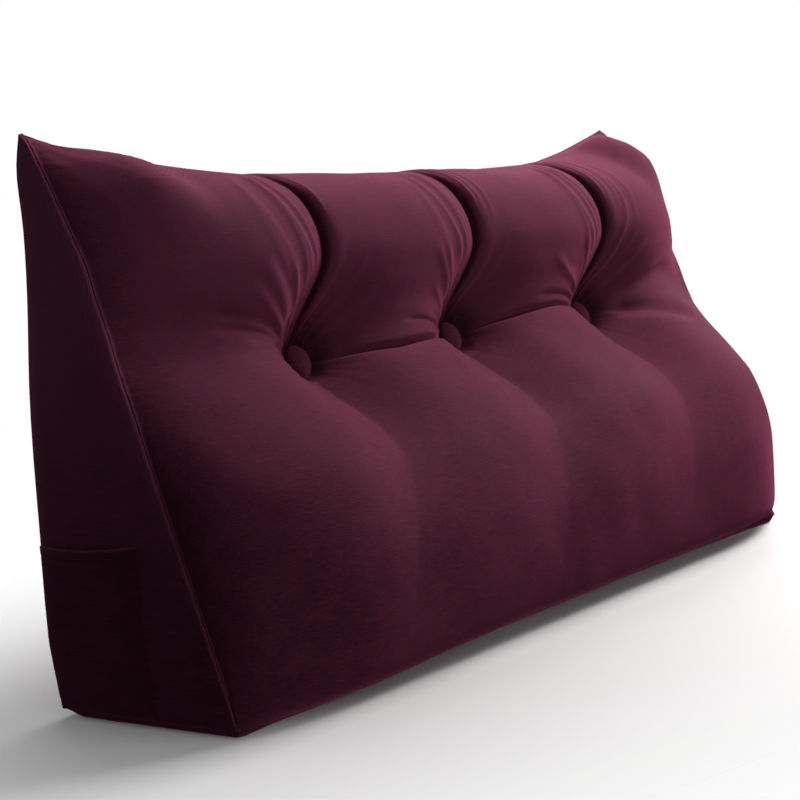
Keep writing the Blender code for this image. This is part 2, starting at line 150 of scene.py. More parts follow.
# The pinched line between the buttons, a broad and a sharp part, each with its share and its reach
# in rows below and above the line. It fades past the outer buttons.
PinchPart = namedtuple("PinchPart", "share below above")
BROAD_PINCH = PinchPart(0.62, 0.22, 0.36)
SHARP_PINCH = PinchPart(0.74, 0.050, 0.085)
PINCH_FADE = 0.10

# Painted shade: the pit up and right of a button, the bottom of a crease and a soft band beside
# the end seams
PIT_TOWARDS = (0.8, 0.6)
DARK_TOWARDS = (0.85, 0.53)
DarkPit = namedtuple("DarkPit", "away inner outer share turn")
DARK_PIT = DarkPit(0.004, 0.006, 0.018, 0.45, 0.75)
DarkCrease = namedtuple("DarkCrease", "share right width")
DARK_CREASE = DarkCrease(0.80, 0.001, 0.0024)
DarkBand = namedtuple("DarkBand", "share start fade flat reach")
DARK_BAND = DarkBand(0.20, 0.0020, 0.002, 0.006, 0.050)

# Painted light, lighter towards the top: how much at the top, and from what height over what rise
TopLightPaint = namedtuple("TopLightPaint", "share start rise")
TOP_LIGHT_PAINT = TopLightPaint(0.42, 0.05, 0.36)

# Painted highlight lines along seams and pleats: their share, distance from the seam and reach
SeamLine = namedtuple("SeamLine", "share away reach")
END_SEAM_LINE = SeamLine(0.8, 0.0011, 0.0014)
LONG_SEAM_LINE = SeamLine(0.35, 0.0009, 0.0018)
PANEL_SEAM_LINE = SeamLine(0.08, 0.0006, 0.0012)
PLEAT_LINE_SHARE = 0.35
# A pleat of this height gets its full painted highlight
FULL_PLEAT = 0.0022
# How dark the painted shade is against shaded velvet
PAINTED_SHADE_TONE = 0.22

# Pleats of the cloth that gather at a button. Each runs through three places, given as a distance
# from the button along the pillow and a row of the face. A height below 0 is a groove. sharp is 1
# for a creased line and 2 for a soft one. buttons lists which buttons have it, from the left.
Pleat = namedtuple(
    "Pleat",
    "buttons start_x start_row middle_x middle_row end_x end_row height width sharp",
)
PLEATS = (
    # Long pleats down the flank on the left of the crease
    Pleat((0, 1, 2), -0.020, 15.3, -0.034, 13.6, -0.004, 11.3, 0.0020, 0.0030, 1.6),
    Pleat((0, 1, 2), -0.031, 15.4, -0.046, 13.5, -0.010, 11.1, 0.0019, 0.0034, 1.6),
    Pleat((0, 1, 2), -0.044, 15.3, -0.058, 13.3, -0.017, 10.9, 0.0016, 0.0036, 1.6),
    Pleat((0, 2), -0.058, 15.0, -0.072, 13.0, -0.026, 10.6, 0.0012, 0.0042, 1.7),
    Pleat((0, 1), -0.074, 14.4, -0.084, 12.6, -0.036, 10.5, 0.0010, 0.0050, 1.8),
    # And down the flank on its right
    Pleat((0, 1, 2), 0.002, 15.9, 0.012, 14.4, 0.010, 12.6, 0.0012, 0.0022, 1.4),
    Pleat((1, 2), 0.012, 16.0, 0.022, 14.6, 0.018, 12.4, 0.0010, 0.0024, 1.5),
    Pleat((1, 2), 0.024, 15.9, 0.034, 14.4, 0.028, 12.2, 0.0009, 0.0026, 1.5),
    Pleat((2,), 0.038, 15.6, 0.048, 14.0, 0.040, 12.0, 0.0009, 0.0030, 1.5),
    Pleat((2,), 0.054, 15.2, 0.064, 13.6, 0.054, 11.8, 0.0008, 0.0032, 1.6),
    # Fan of creased pleats into the well, on the left of the button
    Pleat((0,), -0.112, 11.8, -0.078, 10.9, -0.030, 10.0, 0.0024, 0.0042, 1.3),
    Pleat((0, 1), -0.088, 11.9, -0.060, 11.0, -0.023, 10.1, 0.0020, 0.0036, 1.3),
    Pleat((0, 2), -0.116, 11.1, -0.076, 10.4, -0.032, 9.7, 0.0022, 0.0042, 1.3),
    Pleat((0, 1, 2), -0.060, 11.8, -0.042, 11.0, -0.016, 10.1, 0.0018, 0.0032, 1.3),
    Pleat((0,), -0.130, 10.4, -0.082, 10.0, -0.034, 9.4, 0.0018, 0.0050, 1.5),
    Pleat((1, 2), -0.078, 10.6, -0.050, 10.1, -0.024, 9.6, 0.0016, 0.0036, 1.4),
    # And on its right
    Pleat((2,), 0.052, 12.9, 0.036, 11.6, 0.014, 10.2, 0.0012, 0.0040, 1.5),
    Pleat((0, 1, 2), 0.060, 11.9, 0.042, 11.0, 0.018, 10.0, 0.0006, 0.0040, 1.6),
    Pleat((2,), 0.090, 11.6, 0.060, 10.6, 0.024, 9.7, 0.0010, 0.0044, 1.5),
    Pleat((0, 1, 2), 0.074, 10.6, 0.048, 10.1, 0.022, 9.6, 0.0006, 0.0040, 1.6),
    Pleat((2,), 0.125, 10.4, 0.080, 9.9, 0.030, 9.4, 0.0016, 0.0050, 1.6),
    # Soft troughs that reach from the outer wells towards the ends
    Pleat((0,), -0.165, 10.5, -0.092, 10.1, -0.026, 9.6, -0.0042, 0.0050, 1.4),
    Pleat((0,), -0.150, 9.95, -0.088, 9.75, -0.024, 9.35, -0.0040, 0.0046, 1.4),
    Pleat((0,), -0.130, 9.5, -0.080, 9.4, -0.024, 9.15, -0.0024, 0.0040, 1.4),
    Pleat((2,), 0.190, 8.1, 0.110, 8.5, 0.036, 9.0, -0.0070, 0.0120, 1.8),
    Pleat((2,), 0.185, 9.9, 0.110, 9.8, 0.036, 9.4, -0.0050, 0.0100, 1.8),
    # Second folds beside the pinched line between the buttons
    Pleat((1,), -0.120, 9.42, -0.075, 9.36, -0.024, 9.16, -0.0034, 0.0022, 1.1),
    Pleat((1,), -0.085, 9.68, -0.055, 9.58, -0.022, 9.34, -0.0024, 0.0020, 1.1),
    Pleat((2,), -0.140, 9.62, -0.085, 9.60, -0.024, 9.34, -0.0034, 0.0022, 1.1),
    Pleat((2,), -0.080, 9.92, -0.052, 9.80, -0.022, 9.50, -0.0024, 0.0020, 1.1),
)

# Creases of the cloth at the top corners, as distances from the end seam
EarCrease = namedtuple(
    "EarCrease", "start_away start_row middle_away middle_row end_away end_row height width sharp"
)
EAR_CREASES = (
    EarCrease(0.006, 16.6, 0.045, 15.7, 0.110, 14.2, 0.0008, 0.0042, 1.6),
    EarCrease(0.006, 16.3, 0.030, 15.2, 0.066, 13.4, 0.0006, 0.0040, 1.6),
    EarCrease(0.006, 16.8, 0.060, 16.2, 0.130, 15.4, 0.0007, 0.0038, 1.6),
    EarCrease(0.005, 15.9, 0.016, 14.6, 0.034, 12.8, 0.0003, 0.0036, 1.6),
)

# Fine ripples round a button: how many, how high against the first, and how they turn with it
Ripple = namedtuple("Ripple", "count share phase turn")
RIPPLES = (Ripple(15, 1.0, 0.0, 1.7), Ripple(23, 0.7, 0.9, 2.3), Ripple(34, 0.4, 0.0, 2.1))

# Small ripples along a seam, by how far apart they are and how high against the first
SeamRipple = namedtuple("SeamRipple", "length share phase")
SEAM_RIPPLES = (
    SeamRipple(0.0021, 1.0, 0.0),
    SeamRipple(0.0034, 0.8, 1.3),
    SeamRipple(0.0058, 0.5, 0.0),
)

# Spacing of the fine grid. Along the pillow it goes by the distance from an end and from a button,
# and up the face by row and by the distance past it.
Spacing = namedtuple("Spacing", "distance step")
END_SPACING = (
    Spacing(0, 0.0014),
    Spacing(0.006, 0.0024),
    Spacing(0.030, 0.0048),
    Spacing(0.090, 0.0064),
)
BUTTON_SPACING = (
    Spacing(-0.100, 0.0056),
    Spacing(-0.050, 0.0026),
    Spacing(-0.012, 0.0014),
    Spacing(0.012, 0.0012),
    Spacing(0.048, 0.0028),
    Spacing(0.100, 0.0056),
)
RowSpacing = namedtuple("RowSpacing", "row past step")
FACE_SPACING = (
    RowSpacing(0, 0, 0.0009),
    RowSpacing(0, 0.006, 0.0020),
    RowSpacing(0, 0.030, 0.0070),
    RowSpacing(6, 0, 0.0070),
    RowSpacing(8, 0, 0.0028),
    RowSpacing(8.6, 0, 0.0010),
    RowSpacing(9.3, 0, 0.0010),
    RowSpacing(10, 0, 0.0020),
    RowSpacing(11.5, 0, 0.0030),
    RowSpacing(15, 0, 0.0032),
    RowSpacing(17, -0.008, 0.0020),
    RowSpacing(17, 0, 0.0008),
)

# The face leaves its end seams steeply, so more rings stand there: how far apart they are along the
# cloth, how many they are, and how steep the face is
SEAM_RING_STEP = 0.0009
SEAM_RING_COUNT = 9
SEAM_STEEPNESS = 9.0

# The back and the base, with how fine their rows are at the seams and between them
PlainFace = namedtuple("PlainFace", "table fine coarse")
PLAIN_FACES = (PlainFace(BACK, 0.034, 0.30), PlainFace(BASE, 0.040, 0.50))

# Rings of the cushion's hidden ends and of the end panels, as shares of the way to their middle
HIDDEN_RINGS = [0.22 * step for step in range(1, 5)]
PANEL_RINGS = [0.006, 0.012, 0.020, 0.030, 0.045, *np.linspace(0.07, 0.96, 26)]

# Velvet by piece: how fine its streaks are along X, Y and Z, and how deep its tone is
Finish = namedtuple("Finish", "name grain tone")
# Tones below 1 paint the end panels, the pocket and the buttons darker: painted shade
COVER = Finish("velvet_cover", (84.0, 300.0, 860.0), 1.0)
PANEL = Finish("velvet_end", (520.0, 34.0, 520.0), 0.95)
POCKET = Finish("velvet_pocket", (520.0, 34.0, 520.0), 0.71)
THREAD = Finish("sewing_thread", (900.0, 900.0, 900.0), 0.80)
BUTTON = Finish("velvet_button", (60.0, 620.0, 620.0), 0.92)

# Stitches on the pocket: how long, how far apart and how thick they are
Stitch = namedtuple("Stitch", "length pace radius")
STITCH = Stitch(0.0022, 0.0034, 0.00032)

# Steps of the pocket's grid: across it, up to the hem, and over the hem
POCKET_COLUMNS = 60
POCKET_ROWS = 44
HEM_ROWS = 16

# Thickness of the pocket's cloth at its sewn edges, what it gains inside them and at the hem, and
# the distance over which it does
EDGE_THICKNESS = 0.0003
INNER_THICKNESS = 0.0009
HEM_THICKNESS = 0.0003
POCKET_EDGE = 0.012

# Outline of a button, from its back out to the rim: shares of the radius and of the height
BUTTON_BACK = [(0.0, 0.0), (0.45, 0.0), (0.80, 0.01), (0.93, 0.06), (0.985, 0.15), (1.0, 0.27)]
BUTTON_SIDES = 72
DOME_RINGS = 15

# Soft square lamps, all aimed at the pillow. name is the setting that holds a lamp's power.
Lamp = namedtuple("Lamp", "name place size")
LAMPS = (
    Lamp("key", (1.70, -0.60, 1.70), 1.1),
    Lamp("front", (0.0, -2.5, 0.55), 1.5),
    Lamp("left", (-1.3, -1.5, 1.6), 1.2),
    Lamp("rim", (1.6, 0.5, 0.8), 0.8),
    Lamp("back", (0.3, 0.6, 1.6), 0.9),
    Lamp("behind", (-0.4, 2.4, 0.9), 1.5),
)
LAMP_COLOUR = (1.0, 0.97, 0.96)
LAMP_AIM = (0.0, 0.0, 0.25)
AMBIENT_COLOUR = (0.86, 0.92, 1.0, 1.0)

# The floor fades between these distances, which are counted along X and Y by these shares
FLOOR_REACH = 3.0
FLOOR_SHAPE = (0.65, 1.15, 0.0)
FLOOR_FADE = (0.25, 0.85)

# The camera stands and turns as in the photograph, by angles in radians
CAMERA_PLACE = (-1.52922, -1.06864, 0.39072)
CAMERA_YAW = 0.924091
CAMERA_PITCH = 0.091479
CAMERA_ROLL = -0.0823983
CAMERA_FOCUS_PIXELS = 1797.2
CAMERA_PIXELS = 800
CAMERA_FILM = 36.0

# Row of the pinched line between the buttons, by place along the pillow
PinchPlace = namedtuple("PinchPlace", "x row")
PINCH_LINE = (
    PinchPlace(-0.350, 9.10),
    PinchPlace(-0.254, 8.95),
    PinchPlace(-0.150, 8.72),
    PinchPlace(-0.060, 8.85),
    PinchPlace(-0.006, 9.00),
    PinchPlace(0.075, 9.10),
    PinchPlace(0.150, 9.20),
    PinchPlace(0.258, 9.10),
    PinchPlace(0.350, 8.70),
)


class PillowForm(PropertyGroup):
    """Sizes of the filled cushion and its end panels."""

    length: FloatProperty(
        name="Length", description="Between the two end seams", default=1.0, unit="LENGTH"
    )
    height: FloatProperty(
        name="Height", description="From the base to the top corners", default=0.5, unit="LENGTH"
    )
    depth: FloatProperty(
        name="Depth", description="Of the end panels at the base", default=0.2, unit="LENGTH"
    )
    cloth: FloatProperty(
        name="Cloth", description="Thickness of the cover's cloth", default=0.002, unit="LENGTH"
    )
    gap: FloatProperty(
        name="Gap", description="Between two pieces that touch", default=0.0003, precision=5,
        unit="LENGTH",
    )
    ear_inset: FloatProperty(
        name="Ear inset", description="How far the end seams lean in at the top corners",
        default=0.0137, unit="LENGTH",
    )
    end_crown: FloatProperty(
        name="End crown", description="How far the filling pushes each end panel out",
        default=0.008, unit="LENGTH",
    )
    crown_flat: FloatProperty(
        name="Crown flatness", description="1 is a soft dome, and less is flatter in the middle",
        default=0.55, subtype="FACTOR",
    )
    welt: FloatProperty(
        name="Seam welt", description="Height of the ridge that the seam allowance makes",
        default=0.0007, precision=5, unit="LENGTH",
    )
    pucker: FloatProperty(
        name="Seam pucker", description="Height of the small ripples along the seams",
        default=0.0003, precision=5, unit="LENGTH",
    )


class PillowTufts(PropertyGroup):
    """Sizes of the buttons, their wells and the gathered cloth."""

    radius: FloatProperty(
        name="Button radius", description="Of the covered buttons", default=0.0155, unit="LENGTH"
    )
    dome: FloatProperty(
        name="Button height", description="From a button's back to the top of its dome",
        default=0.009, unit="LENGTH",
    )
    seat_depth: FloatProperty(
        name="Seat depth", description="How deep a button is pulled under the untufted face",
        default=0.0530, unit="LENGTH",
    )
    seat_radius: FloatProperty(
        name="Seat radius", description="Of the flat that a button presses into the cloth",
        default=0.0166, unit="LENGTH",
    )
    well_rise: FloatProperty(
        name="Well rise", description="Distance over which the well round a button rises",
        default=0.032, unit="LENGTH",
    )
    pit: FloatProperty(
        name="Pit",
        description="How far a well's deepest part reaches past its button, up and to the right",
        default=0.015, unit="LENGTH",
    )
    bridging: FloatProperty(
        name="Bridging",
        description="Share of the depth of the upper folds that the cloth spans without going in",
        default=0.58, subtype="FACTOR",
    )
    slit: FloatProperty(
        name="Slit", description="Width of the steep side of each crease", default=0.0036,
        unit="LENGTH",
    )
    pinch: FloatProperty(
        name="Pinch depth", description="Depth of the pinched line that joins the buttons",
        default=0.0165, unit="LENGTH",
    )
    pleats: FloatProperty(
        name="Pleats", description="Scale of all pleats that gather at the buttons", default=1.0,
        subtype="FACTOR",
    )
    gathers: FloatProperty(
        name="Gathers", description="Height of the fine radial ripples round a button",
        default=0.00154, precision=5, unit="LENGTH",
    )


class PillowPocket(PropertyGroup):
    """Sizes of the patch pocket."""

    top: FloatProperty(
        name="Mouth height", description="Of the mouth at the back seam", default=0.1510,
        precision=4, unit="LENGTH",
    )
    tilt: FloatProperty(
        name="Mouth tilt", description="How much higher the mouth's front end is", default=0.0045,
        precision=4, unit="LENGTH",
    )
    sag: FloatProperty(
        name="Mouth sag", description="How far the mouth hangs in its middle", default=0.0030,
        precision=4, unit="LENGTH",
    )
    front: FloatProperty(
        name="Front edge", description="How far in front of the middle the pocket starts",
        default=0.0150, precision=4, unit="LENGTH",
    )
    inset: FloatProperty(
        name="Inset", description="From the seams of the panel to the pocket", default=0.0016,
        precision=4, unit="LENGTH",
    )
    hem: FloatProperty(
        name="Hem", description="Height of the hem at the mouth", default=0.009, precision=4,
        unit="LENGTH",
    )
    gape: FloatProperty(
        name="Gape", description="How far the mouth stands off the panel", default=0.0016,
        precision=4, unit="LENGTH",
    )


class PillowVelvet(PropertyGroup):
    """Colours and finish of the velvet."""

    colour: FloatVectorProperty(
        name="Velvet", description="Colour of the pile seen straight on",
        default=(0.060, 0.0116, 0.0242), subtype="COLOR", min=0, max=1,
    )
    shade: FloatVectorProperty(
        name="Shaded velvet", description="Colour where the pile lies away",
        default=(0.032, 0.0062, 0.0144), subtype="COLOR", min=0, max=1,
    )
    # Painted highlight colour for seams, pleats, the pocket's mouth and the lighter top
    highlighted: FloatVectorProperty(
        name="Rubbed velvet", description="Colour of the pile along worn seams and ridges",
        default=(0.120, 0.0298, 0.0560), subtype="COLOR", min=0, max=1,
    )
    sheen: FloatVectorProperty(
        name="Sheen", description="Tint of the pile's sheen", default=(0.90, 0.18, 0.37),
        subtype="COLOR", min=0, max=1,
    )
    sheen_weight: FloatProperty(
        name="Sheen weight", description="Strength of the pile's sheen", default=0.30,
        subtype="FACTOR",
    )
    pile: FloatProperty(
        name="Pile", description="Depth of the pile's grain", default=0.0004, precision=5,
        unit="LENGTH",
    )


class PillowStage(PropertyGroup):
    """The studio round the pillow."""

    floor: FloatVectorProperty(
        name="Floor", description="Colour of the floor", default=(0.80, 0.80, 0.80),
        subtype="COLOR", min=0, max=1,
    )
    key: FloatProperty(
        name="Key light", description="Power of the soft light high on the right", default=70.0,
        min=0.0, unit="POWER",
    )
    front: FloatProperty(
        name="Front light", description="Power of the soft light low in front", default=21.0,
        min=0.0, unit="POWER",
    )
    left: FloatProperty(
        name="Left light", description="Power of the soft light on the front left", default=4.0,
        min=0.0, unit="POWER",
    )
    rim: FloatProperty(
        name="Rim light", description="Power of the soft light behind the right end",
        default=11.0, min=0.0, unit="POWER",
    )
    back: FloatProperty(
        name="Back light", description="Power of the soft light above the back", default=7.0,
        min=0.0, unit="POWER",
    )
    behind: FloatProperty(
        name="Light behind", description="Power of the soft light on the plain back", default=9.0,
        min=0.0, unit="POWER",
    )
    ambient: FloatProperty(
        name="Ambient", description="Strength of the even light from all round", default=0.10,
        subtype="FACTOR",
    )


def column(table, name):
    return np.array([getattr(row, name) for row in table])


def smooth_read(values, at):
    """Reads a smooth curve through values, one a row, at the row numbers in at."""
    last = len(values) - 1
    padded = np.concatenate(([2 * values[0] - values[1]], values, [2 * values[-1] - values[-2]]))
    low = np.minimum(at.astype(int), last - 1)
    share = at - low
    before, start, end, after = (padded[low + step] for step in range(4))
    bend = 2 * before - 5 * start + 4 * end - after
    turn = 3 * (start - end) + after - before
    return start + 0.5 * share * (end - before + share * (bend + share * turn))


def hump(distance, reach):
    """1 in the middle, falling smoothly to 0 at the reach."""
    return np.clip(1 - (distance / reach) ** 2, 0, 1) ** 2


def ease(share):
    """0 to 1 with a soft start and a soft end."""
    share = np.clip(share, 0, 1)
    return share * share * (3 - 2 * share)


def spread(start, end, marks):
    """Places from start to end. marks gives the spacing wanted at some of them."""
    fine = np.linspace(start, end, 6001)
    where, steps = zip(*sorted(marks))
    density = 1 / np.interp(fine, where, steps)
    count = np.concatenate(([0], np.cumsum((density[1:] + density[:-1]) / 2 * np.diff(fine))))
    return np.interp(np.linspace(0, count[-1], int(round(count[-1])) + 1), count, fine)


def cushion_end(form):
    """Where the cushion's own end lies, under the end panel and the gap."""
    return form.length / 2 - form.cloth - form.gap


def ear_lean(form, z):
    """How far an end seam leans in at height z."""
    return form.ear_inset * (z / form.height) ** 3


def outward_of(form):
    """Square to the plain wedge's face. The buttons are pulled in along it."""
    return np.array(Vector((0.0, -form.height, form.depth)).normalized())


def plain_face(form, table, x, at):
    """Points of one face before tufting, at the places x and the row numbers at."""
    rows = np.arange(len(table))
    away = cushion_end(form) - np.abs(x)
    fullness = np.interp(at, rows, column(table, "fullness"))

    def swell(reach):
        left = 1 - np.clip(away / reach, 0, 1)
        return (1 - left**2) ** fullness

    out = swell(np.interp(at, rows, column(table, "reach")))
    raised = swell(np.interp(at, rows, column(table, "rise")))
    seam_forward = smooth_read(column(table, "seam_forward"), at)
    seam_up = smooth_read(column(table, "seam_up"), at)
    forward = seam_forward + out * (smooth_read(column(table, "forward"), at) - seam_forward)
    up = seam_up + raised * (smooth_read(column(table, "up"), at) - seam_up)
    up = np.maximum(up, 0)
    across = x * (1 - ear_lean(form, up * form.height) / cushion_end(form))
    y = form.depth / 2 - forward * form.depth
    return np.stack((across, y, up * form.height), axis=-1)


def filled_face(form, x, at):
    """Points of the face with its round shoulders and its settled left edge, before tufting."""
    points = plain_face(form, FACE, x, at)
    away = cushion_end(form) - np.abs(x)
    for shoulder in SHOULDERS:
        lift = hump(at - shoulder.row, shoulder.rows) * hump(away - shoulder.away, shoulder.reach)
        lift *= shoulder.lift * np.sqrt(0.5) * np.clip(away / shoulder.away, 0, 1) ** 0.5
        lift *= shoulder.side * x > 0
        points[..., 1] -= lift
        points[..., 2] += lift
    seam = SETTLED_SEAM
    settle = seam.drop * hump(at, seam.rows) * hump(x - seam.x, seam.reach)
    points[..., 2] -= settle * (away > 0)
    return points


def waist_point(form, x):
    return plain_face(form, FACE, np.array([x]), np.array([float(WAIST_ROW)]))[0]


def button_seat(form, tufts, x):
    """The middle of a button's seat."""
    return waist_point(form, x) - tufts.seat_depth * outward_of(form)


def fading_in(at, fade):
    """0 up to a row, then softly up to 1 over some rows."""
    return ease((at - fade.row) / fade.rows)


def narrowing(distance, reach):
    """1 in the middle, falling evenly to 0 at the reach."""
    return 1 - np.clip(distance / reach, 0, 1)


def fold_depth(form, tufts, x, at, plain):
    """How deep the sewing pulls the face in. Folds that meet never go below a button's seat."""
    rows = np.arange(len(FACE))
    dip = np.interp(at, rows, column(FACE, "dip"))
    width = np.interp(at, rows, column(FACE, "width"))
    soft = np.interp(at, rows, column(FACE, "soft"))
    lean = smooth_read(column(FACE, "lean"), at)
    # The cloth bridges the folds of the upper rolls and leaves a narrow crease
    dip = dip * (1 - tufts.bridging * fading_in(at, BRIDGED))
    deepest = tufts.seat_depth
    left = np.ones_like(x)
    for button_x in BUTTON_X:
        across = x - button_x + lean
        aside = np.abs(across)
        fold = NARROW_FOLD_SHARE * (1 - (1 - narrowing(aside, width) ** 2) ** soft)
        fold += WIDE_FOLD.share * narrowing(aside, WIDE_FOLD.reach) ** 2
        slit = SLIT_SHARE * np.exp(-aside / tufts.slit)
        slit += SLIT_FOOT.share * narrowing(aside, SLIT_FOOT.reach) ** 2
        fold += fading_in(at, STEEPER) * (across > 0) * (slit - fold)
        left *= 1 - dip / deepest * fold
        off = plain - waist_point(form, button_x)
        radius = np.linalg.norm(off, axis=-1)
        upper_right = np.clip(off[..., (0, 2)] @ PIT_TOWARDS / (radius + 1e-9), 0, 1)
        past_rim = np.maximum(radius - tufts.radius - tufts.pit * upper_right**2, 0)
        left *= 1 - np.exp(-past_rim / tufts.well_rise)
    past = np.maximum(np.maximum(BUTTON_X[0] - x, x - BUTTON_X[-1]), 0)
    steps = at - np.interp(x, column(PINCH_LINE, "x"), column(PINCH_LINE, "row"))
    broad, sharp = (
        steps / np.where(steps < 0, part.below, part.above) for part in (BROAD_PINCH, SHARP_PINCH)
    )
    pinch = BROAD_PINCH.share * np.exp(-np.abs(broad)) + SHARP_PINCH.share * np.exp(-(sharp**2))
    left *= 1 - tufts.pinch / deepest * narrowing(past, PINCH_FADE) ** 2 * pinch
    return deepest * (1 - left)


def tufted_face(form, tufts, x, at):
    """Points of the tufted face, with its folds and the flat seats of the buttons."""
    plain = filled_face(form, x, at)
    outward = outward_of(form)
    points = plain - fold_depth(form, tufts, x, at, plain)[..., None] * outward
    for button_x in BUTTON_X:
        from_seat = points - button_seat(form, tufts, button_x)
        height = from_seat @ outward
        sideways = np.linalg.norm(from_seat - height[..., None] * outward, axis=-1)
        pressed = ease(1 - (sideways - tufts.seat_radius) / PRESSED_EDGE)
        points = points - (pressed * height)[..., None] * outward
    return points


def run_of_rows(form):
    """Length of cloth from the lower front seam to each of many rows, between two buttons."""
    at = np.linspace(0, len(FACE) - 1, 1701)
    points = plain_face(form, FACE, np.full_like(at, BETWEEN_BUTTONS), at)
    steps = np.linalg.norm(np.diff(points, axis=0), axis=1)
    return at, np.concatenate(([0], np.cumsum(steps)))


def along_places(form):
    """Places along the pillow, finest at the end seams and at the buttons."""
    end = cushion_end(form)
    marks = [(side * (end - mark.distance), mark.step) for side in (-1, 1) for mark in END_SPACING]
    marks += [(x + mark.distance, mark.step) for x in BUTTON_X for mark in BUTTON_SPACING]
    places = spread(-end, end, marks)
    near = SEAM_STEEPNESS * (SEAM_RING_STEP * np.arange(1, SEAM_RING_COUNT + 1)) ** 2
    return np.concatenate(([-end], near - end, places[1:-1], end - near[::-1], [end]))


def face_rows(form):
    """Row numbers up the face, finest at its seams and at the waist."""
    at, run = run_of_rows(form)
    marks = [(np.interp(mark.row, at, run) + mark.past, mark.step) for mark in FACE_SPACING]
    return np.interp(spread(0, run[-1], marks), run, at)


def plain_rows(table, fine, coarse):
    """Row numbers of the back or the base, finest at its two seams."""
    last = len(table) - 1
    marks = [(0, fine), (0.12, fine), (0.8, coarse), (last - 0.8, coarse), (last - 0.12, fine)]
    return spread(0, last, [*marks, (last, fine)])[:-1]


def plain_parts(form, x):
    """Points of the back and the base at the places x, a grid for each."""
    for face in PLAIN_FACES:
        at = np.meshgrid(x, plain_rows(*face), indexing="ij")
        yield plain_face(form, face.table, *at)


def line_distance(x, run, path):
    """Distance of each point from a path, and how far along the path it lies, from 0 to 1."""
    best = np.full(x.shape, np.inf)
    along = np.zeros(x.shape)
    count = len(path) - 1
    for step, (start, end) in enumerate(zip(path, path[1:])):
        direction = end - start
        share = (x - start[0]) * direction[0] + (run - start[1]) * direction[1]
        share = np.clip(share / max(direction @ direction, 1e-12), 0, 1)
        aside = np.hypot(x - start[0] - share * direction[0], run - start[1] - share * direction[1])
        closer = aside < best
        best[closer] = aside[closer]
        along[closer] = (step + share[closer]) / count
    return best, along


def bent_path(places, count=14):
    """Points on a parabola through three places."""
    t = np.linspace(0, 1, count + 1)[:, None]
    start, middle, end = (np.array(place) for place in places)
    return start * (1 - t) * (1 - 2 * t) + middle * 4 * t * (1 - t) + end * t * (2 * t - 1)


def add_line(heights, x, run, places, height, width, sharp):
    """Adds one ridge or groove that fades at both ends."""
    path = bent_path(places)
    reach = 3.2 * width
    low = path.min(axis=0) - reach
    high = path.max(axis=0) + reach
    close = (x > low[0]) & (x < high[0]) & (run > low[1]) & (run < high[1])
    aside, along = line_distance(x[close], run[close], path)
    fade = ease(along / 0.30) * ease((1 - along) / 0.18)
    heights[close] += height * fade * np.exp(-((aside / width) ** sharp))


def pleat_heights(form, tufts, x, run, row_run):
    """Heights of the pleats at the buttons and of the creases at the top corners."""
    heights = np.zeros(x.shape)
    for number, pleat in enumerate(PLEATS):
        for button in pleat.buttons:
            # No two buttons gather the cloth alike
            change = 1 + 0.10 * math.sin(2.4 * number + 1.9 * button)
            centre = BUTTON_X[button]
            places = (
                (centre + change * pleat.start_x, row_run(pleat.start_row)),
                (centre + change * pleat.middle_x, row_run(pleat.middle_row)),
                (centre + pleat.end_x, row_run(pleat.end_row)),
            )
            height = tufts.pleats * change * pleat.height
            add_line(heights, x, run, places, height, pleat.width, pleat.sharp)
    end = cushion_end(form)
    for side in (-1, 1):
        for crease in EAR_CREASES:
            places = (
                (side * (end - crease.start_away), row_run(crease.start_row)),
                (side * (end - crease.middle_away), row_run(crease.middle_row)),
                (side * (end - crease.end_away), row_run(crease.end_row)),
            )
            add_line(heights, x, run, places, crease.height, crease.width, crease.sharp)
    return heights


def gather_heights(tufts, x, run, row_run):
    """Fine ripples that run into each button, mostly from above and from its sides."""
    heights = np.zeros(x.shape)
    for number, button_x in enumerate(BUTTON_X):
        across = x - button_x
        up = run - row_run(WAIST_ROW)
        radius = np.hypot(across, up)
        angle = np.arctan2(up, across)
        waves = sum(
            row.share * np.sin(row.count * angle + row.phase + row.turn * number) for row in RIPPLES
        )
        reach = ease((radius - tufts.radius) / 0.012) * np.exp(-radius / 0.034)
        # The cloth gathers most up and to the left of a button
        toward = 0.12 + 0.88 * ease(0.55 + 0.45 * np.sin(angle) - 0.40 * np.cos(angle))
        heights += tufts.gathers * waves * reach * toward
    return heights


def welt_height(form, distance):
    """Profile across a seam: a ridge at the edge and the shallow line the stitches pull in."""
    ridge = form.welt * hump(distance - 0.0011, 0.0013)
    return ridge - 0.35 * form.welt * hump(distance - 0.0034, 0.0022)


def pucker_height(form, distance, run):
    """Small ripples square to a seam."""
    waves = sum(row.share * np.sin(run / row.length + row.phase) for row in SEAM_RIPPLES)
    return form.pucker * waves * ease(distance / 0.002) * np.exp(-distance / 0.011)


def painted_top_light(z):
    """Painted light by height: the velvet is painted lighter towards the top."""
    return TOP_LIGHT_PAINT.share * ease((z - TOP_LIGHT_PAINT.start) / TOP_LIGHT_PAINT.rise)


def seam_distance(points):
    """Distance of each point of a grid from the end seam of its own row."""
    first, last = (np.linalg.norm(points - end, axis=-1) for end in (points[:1], points[-1:]))
    return np.minimum(first, last)


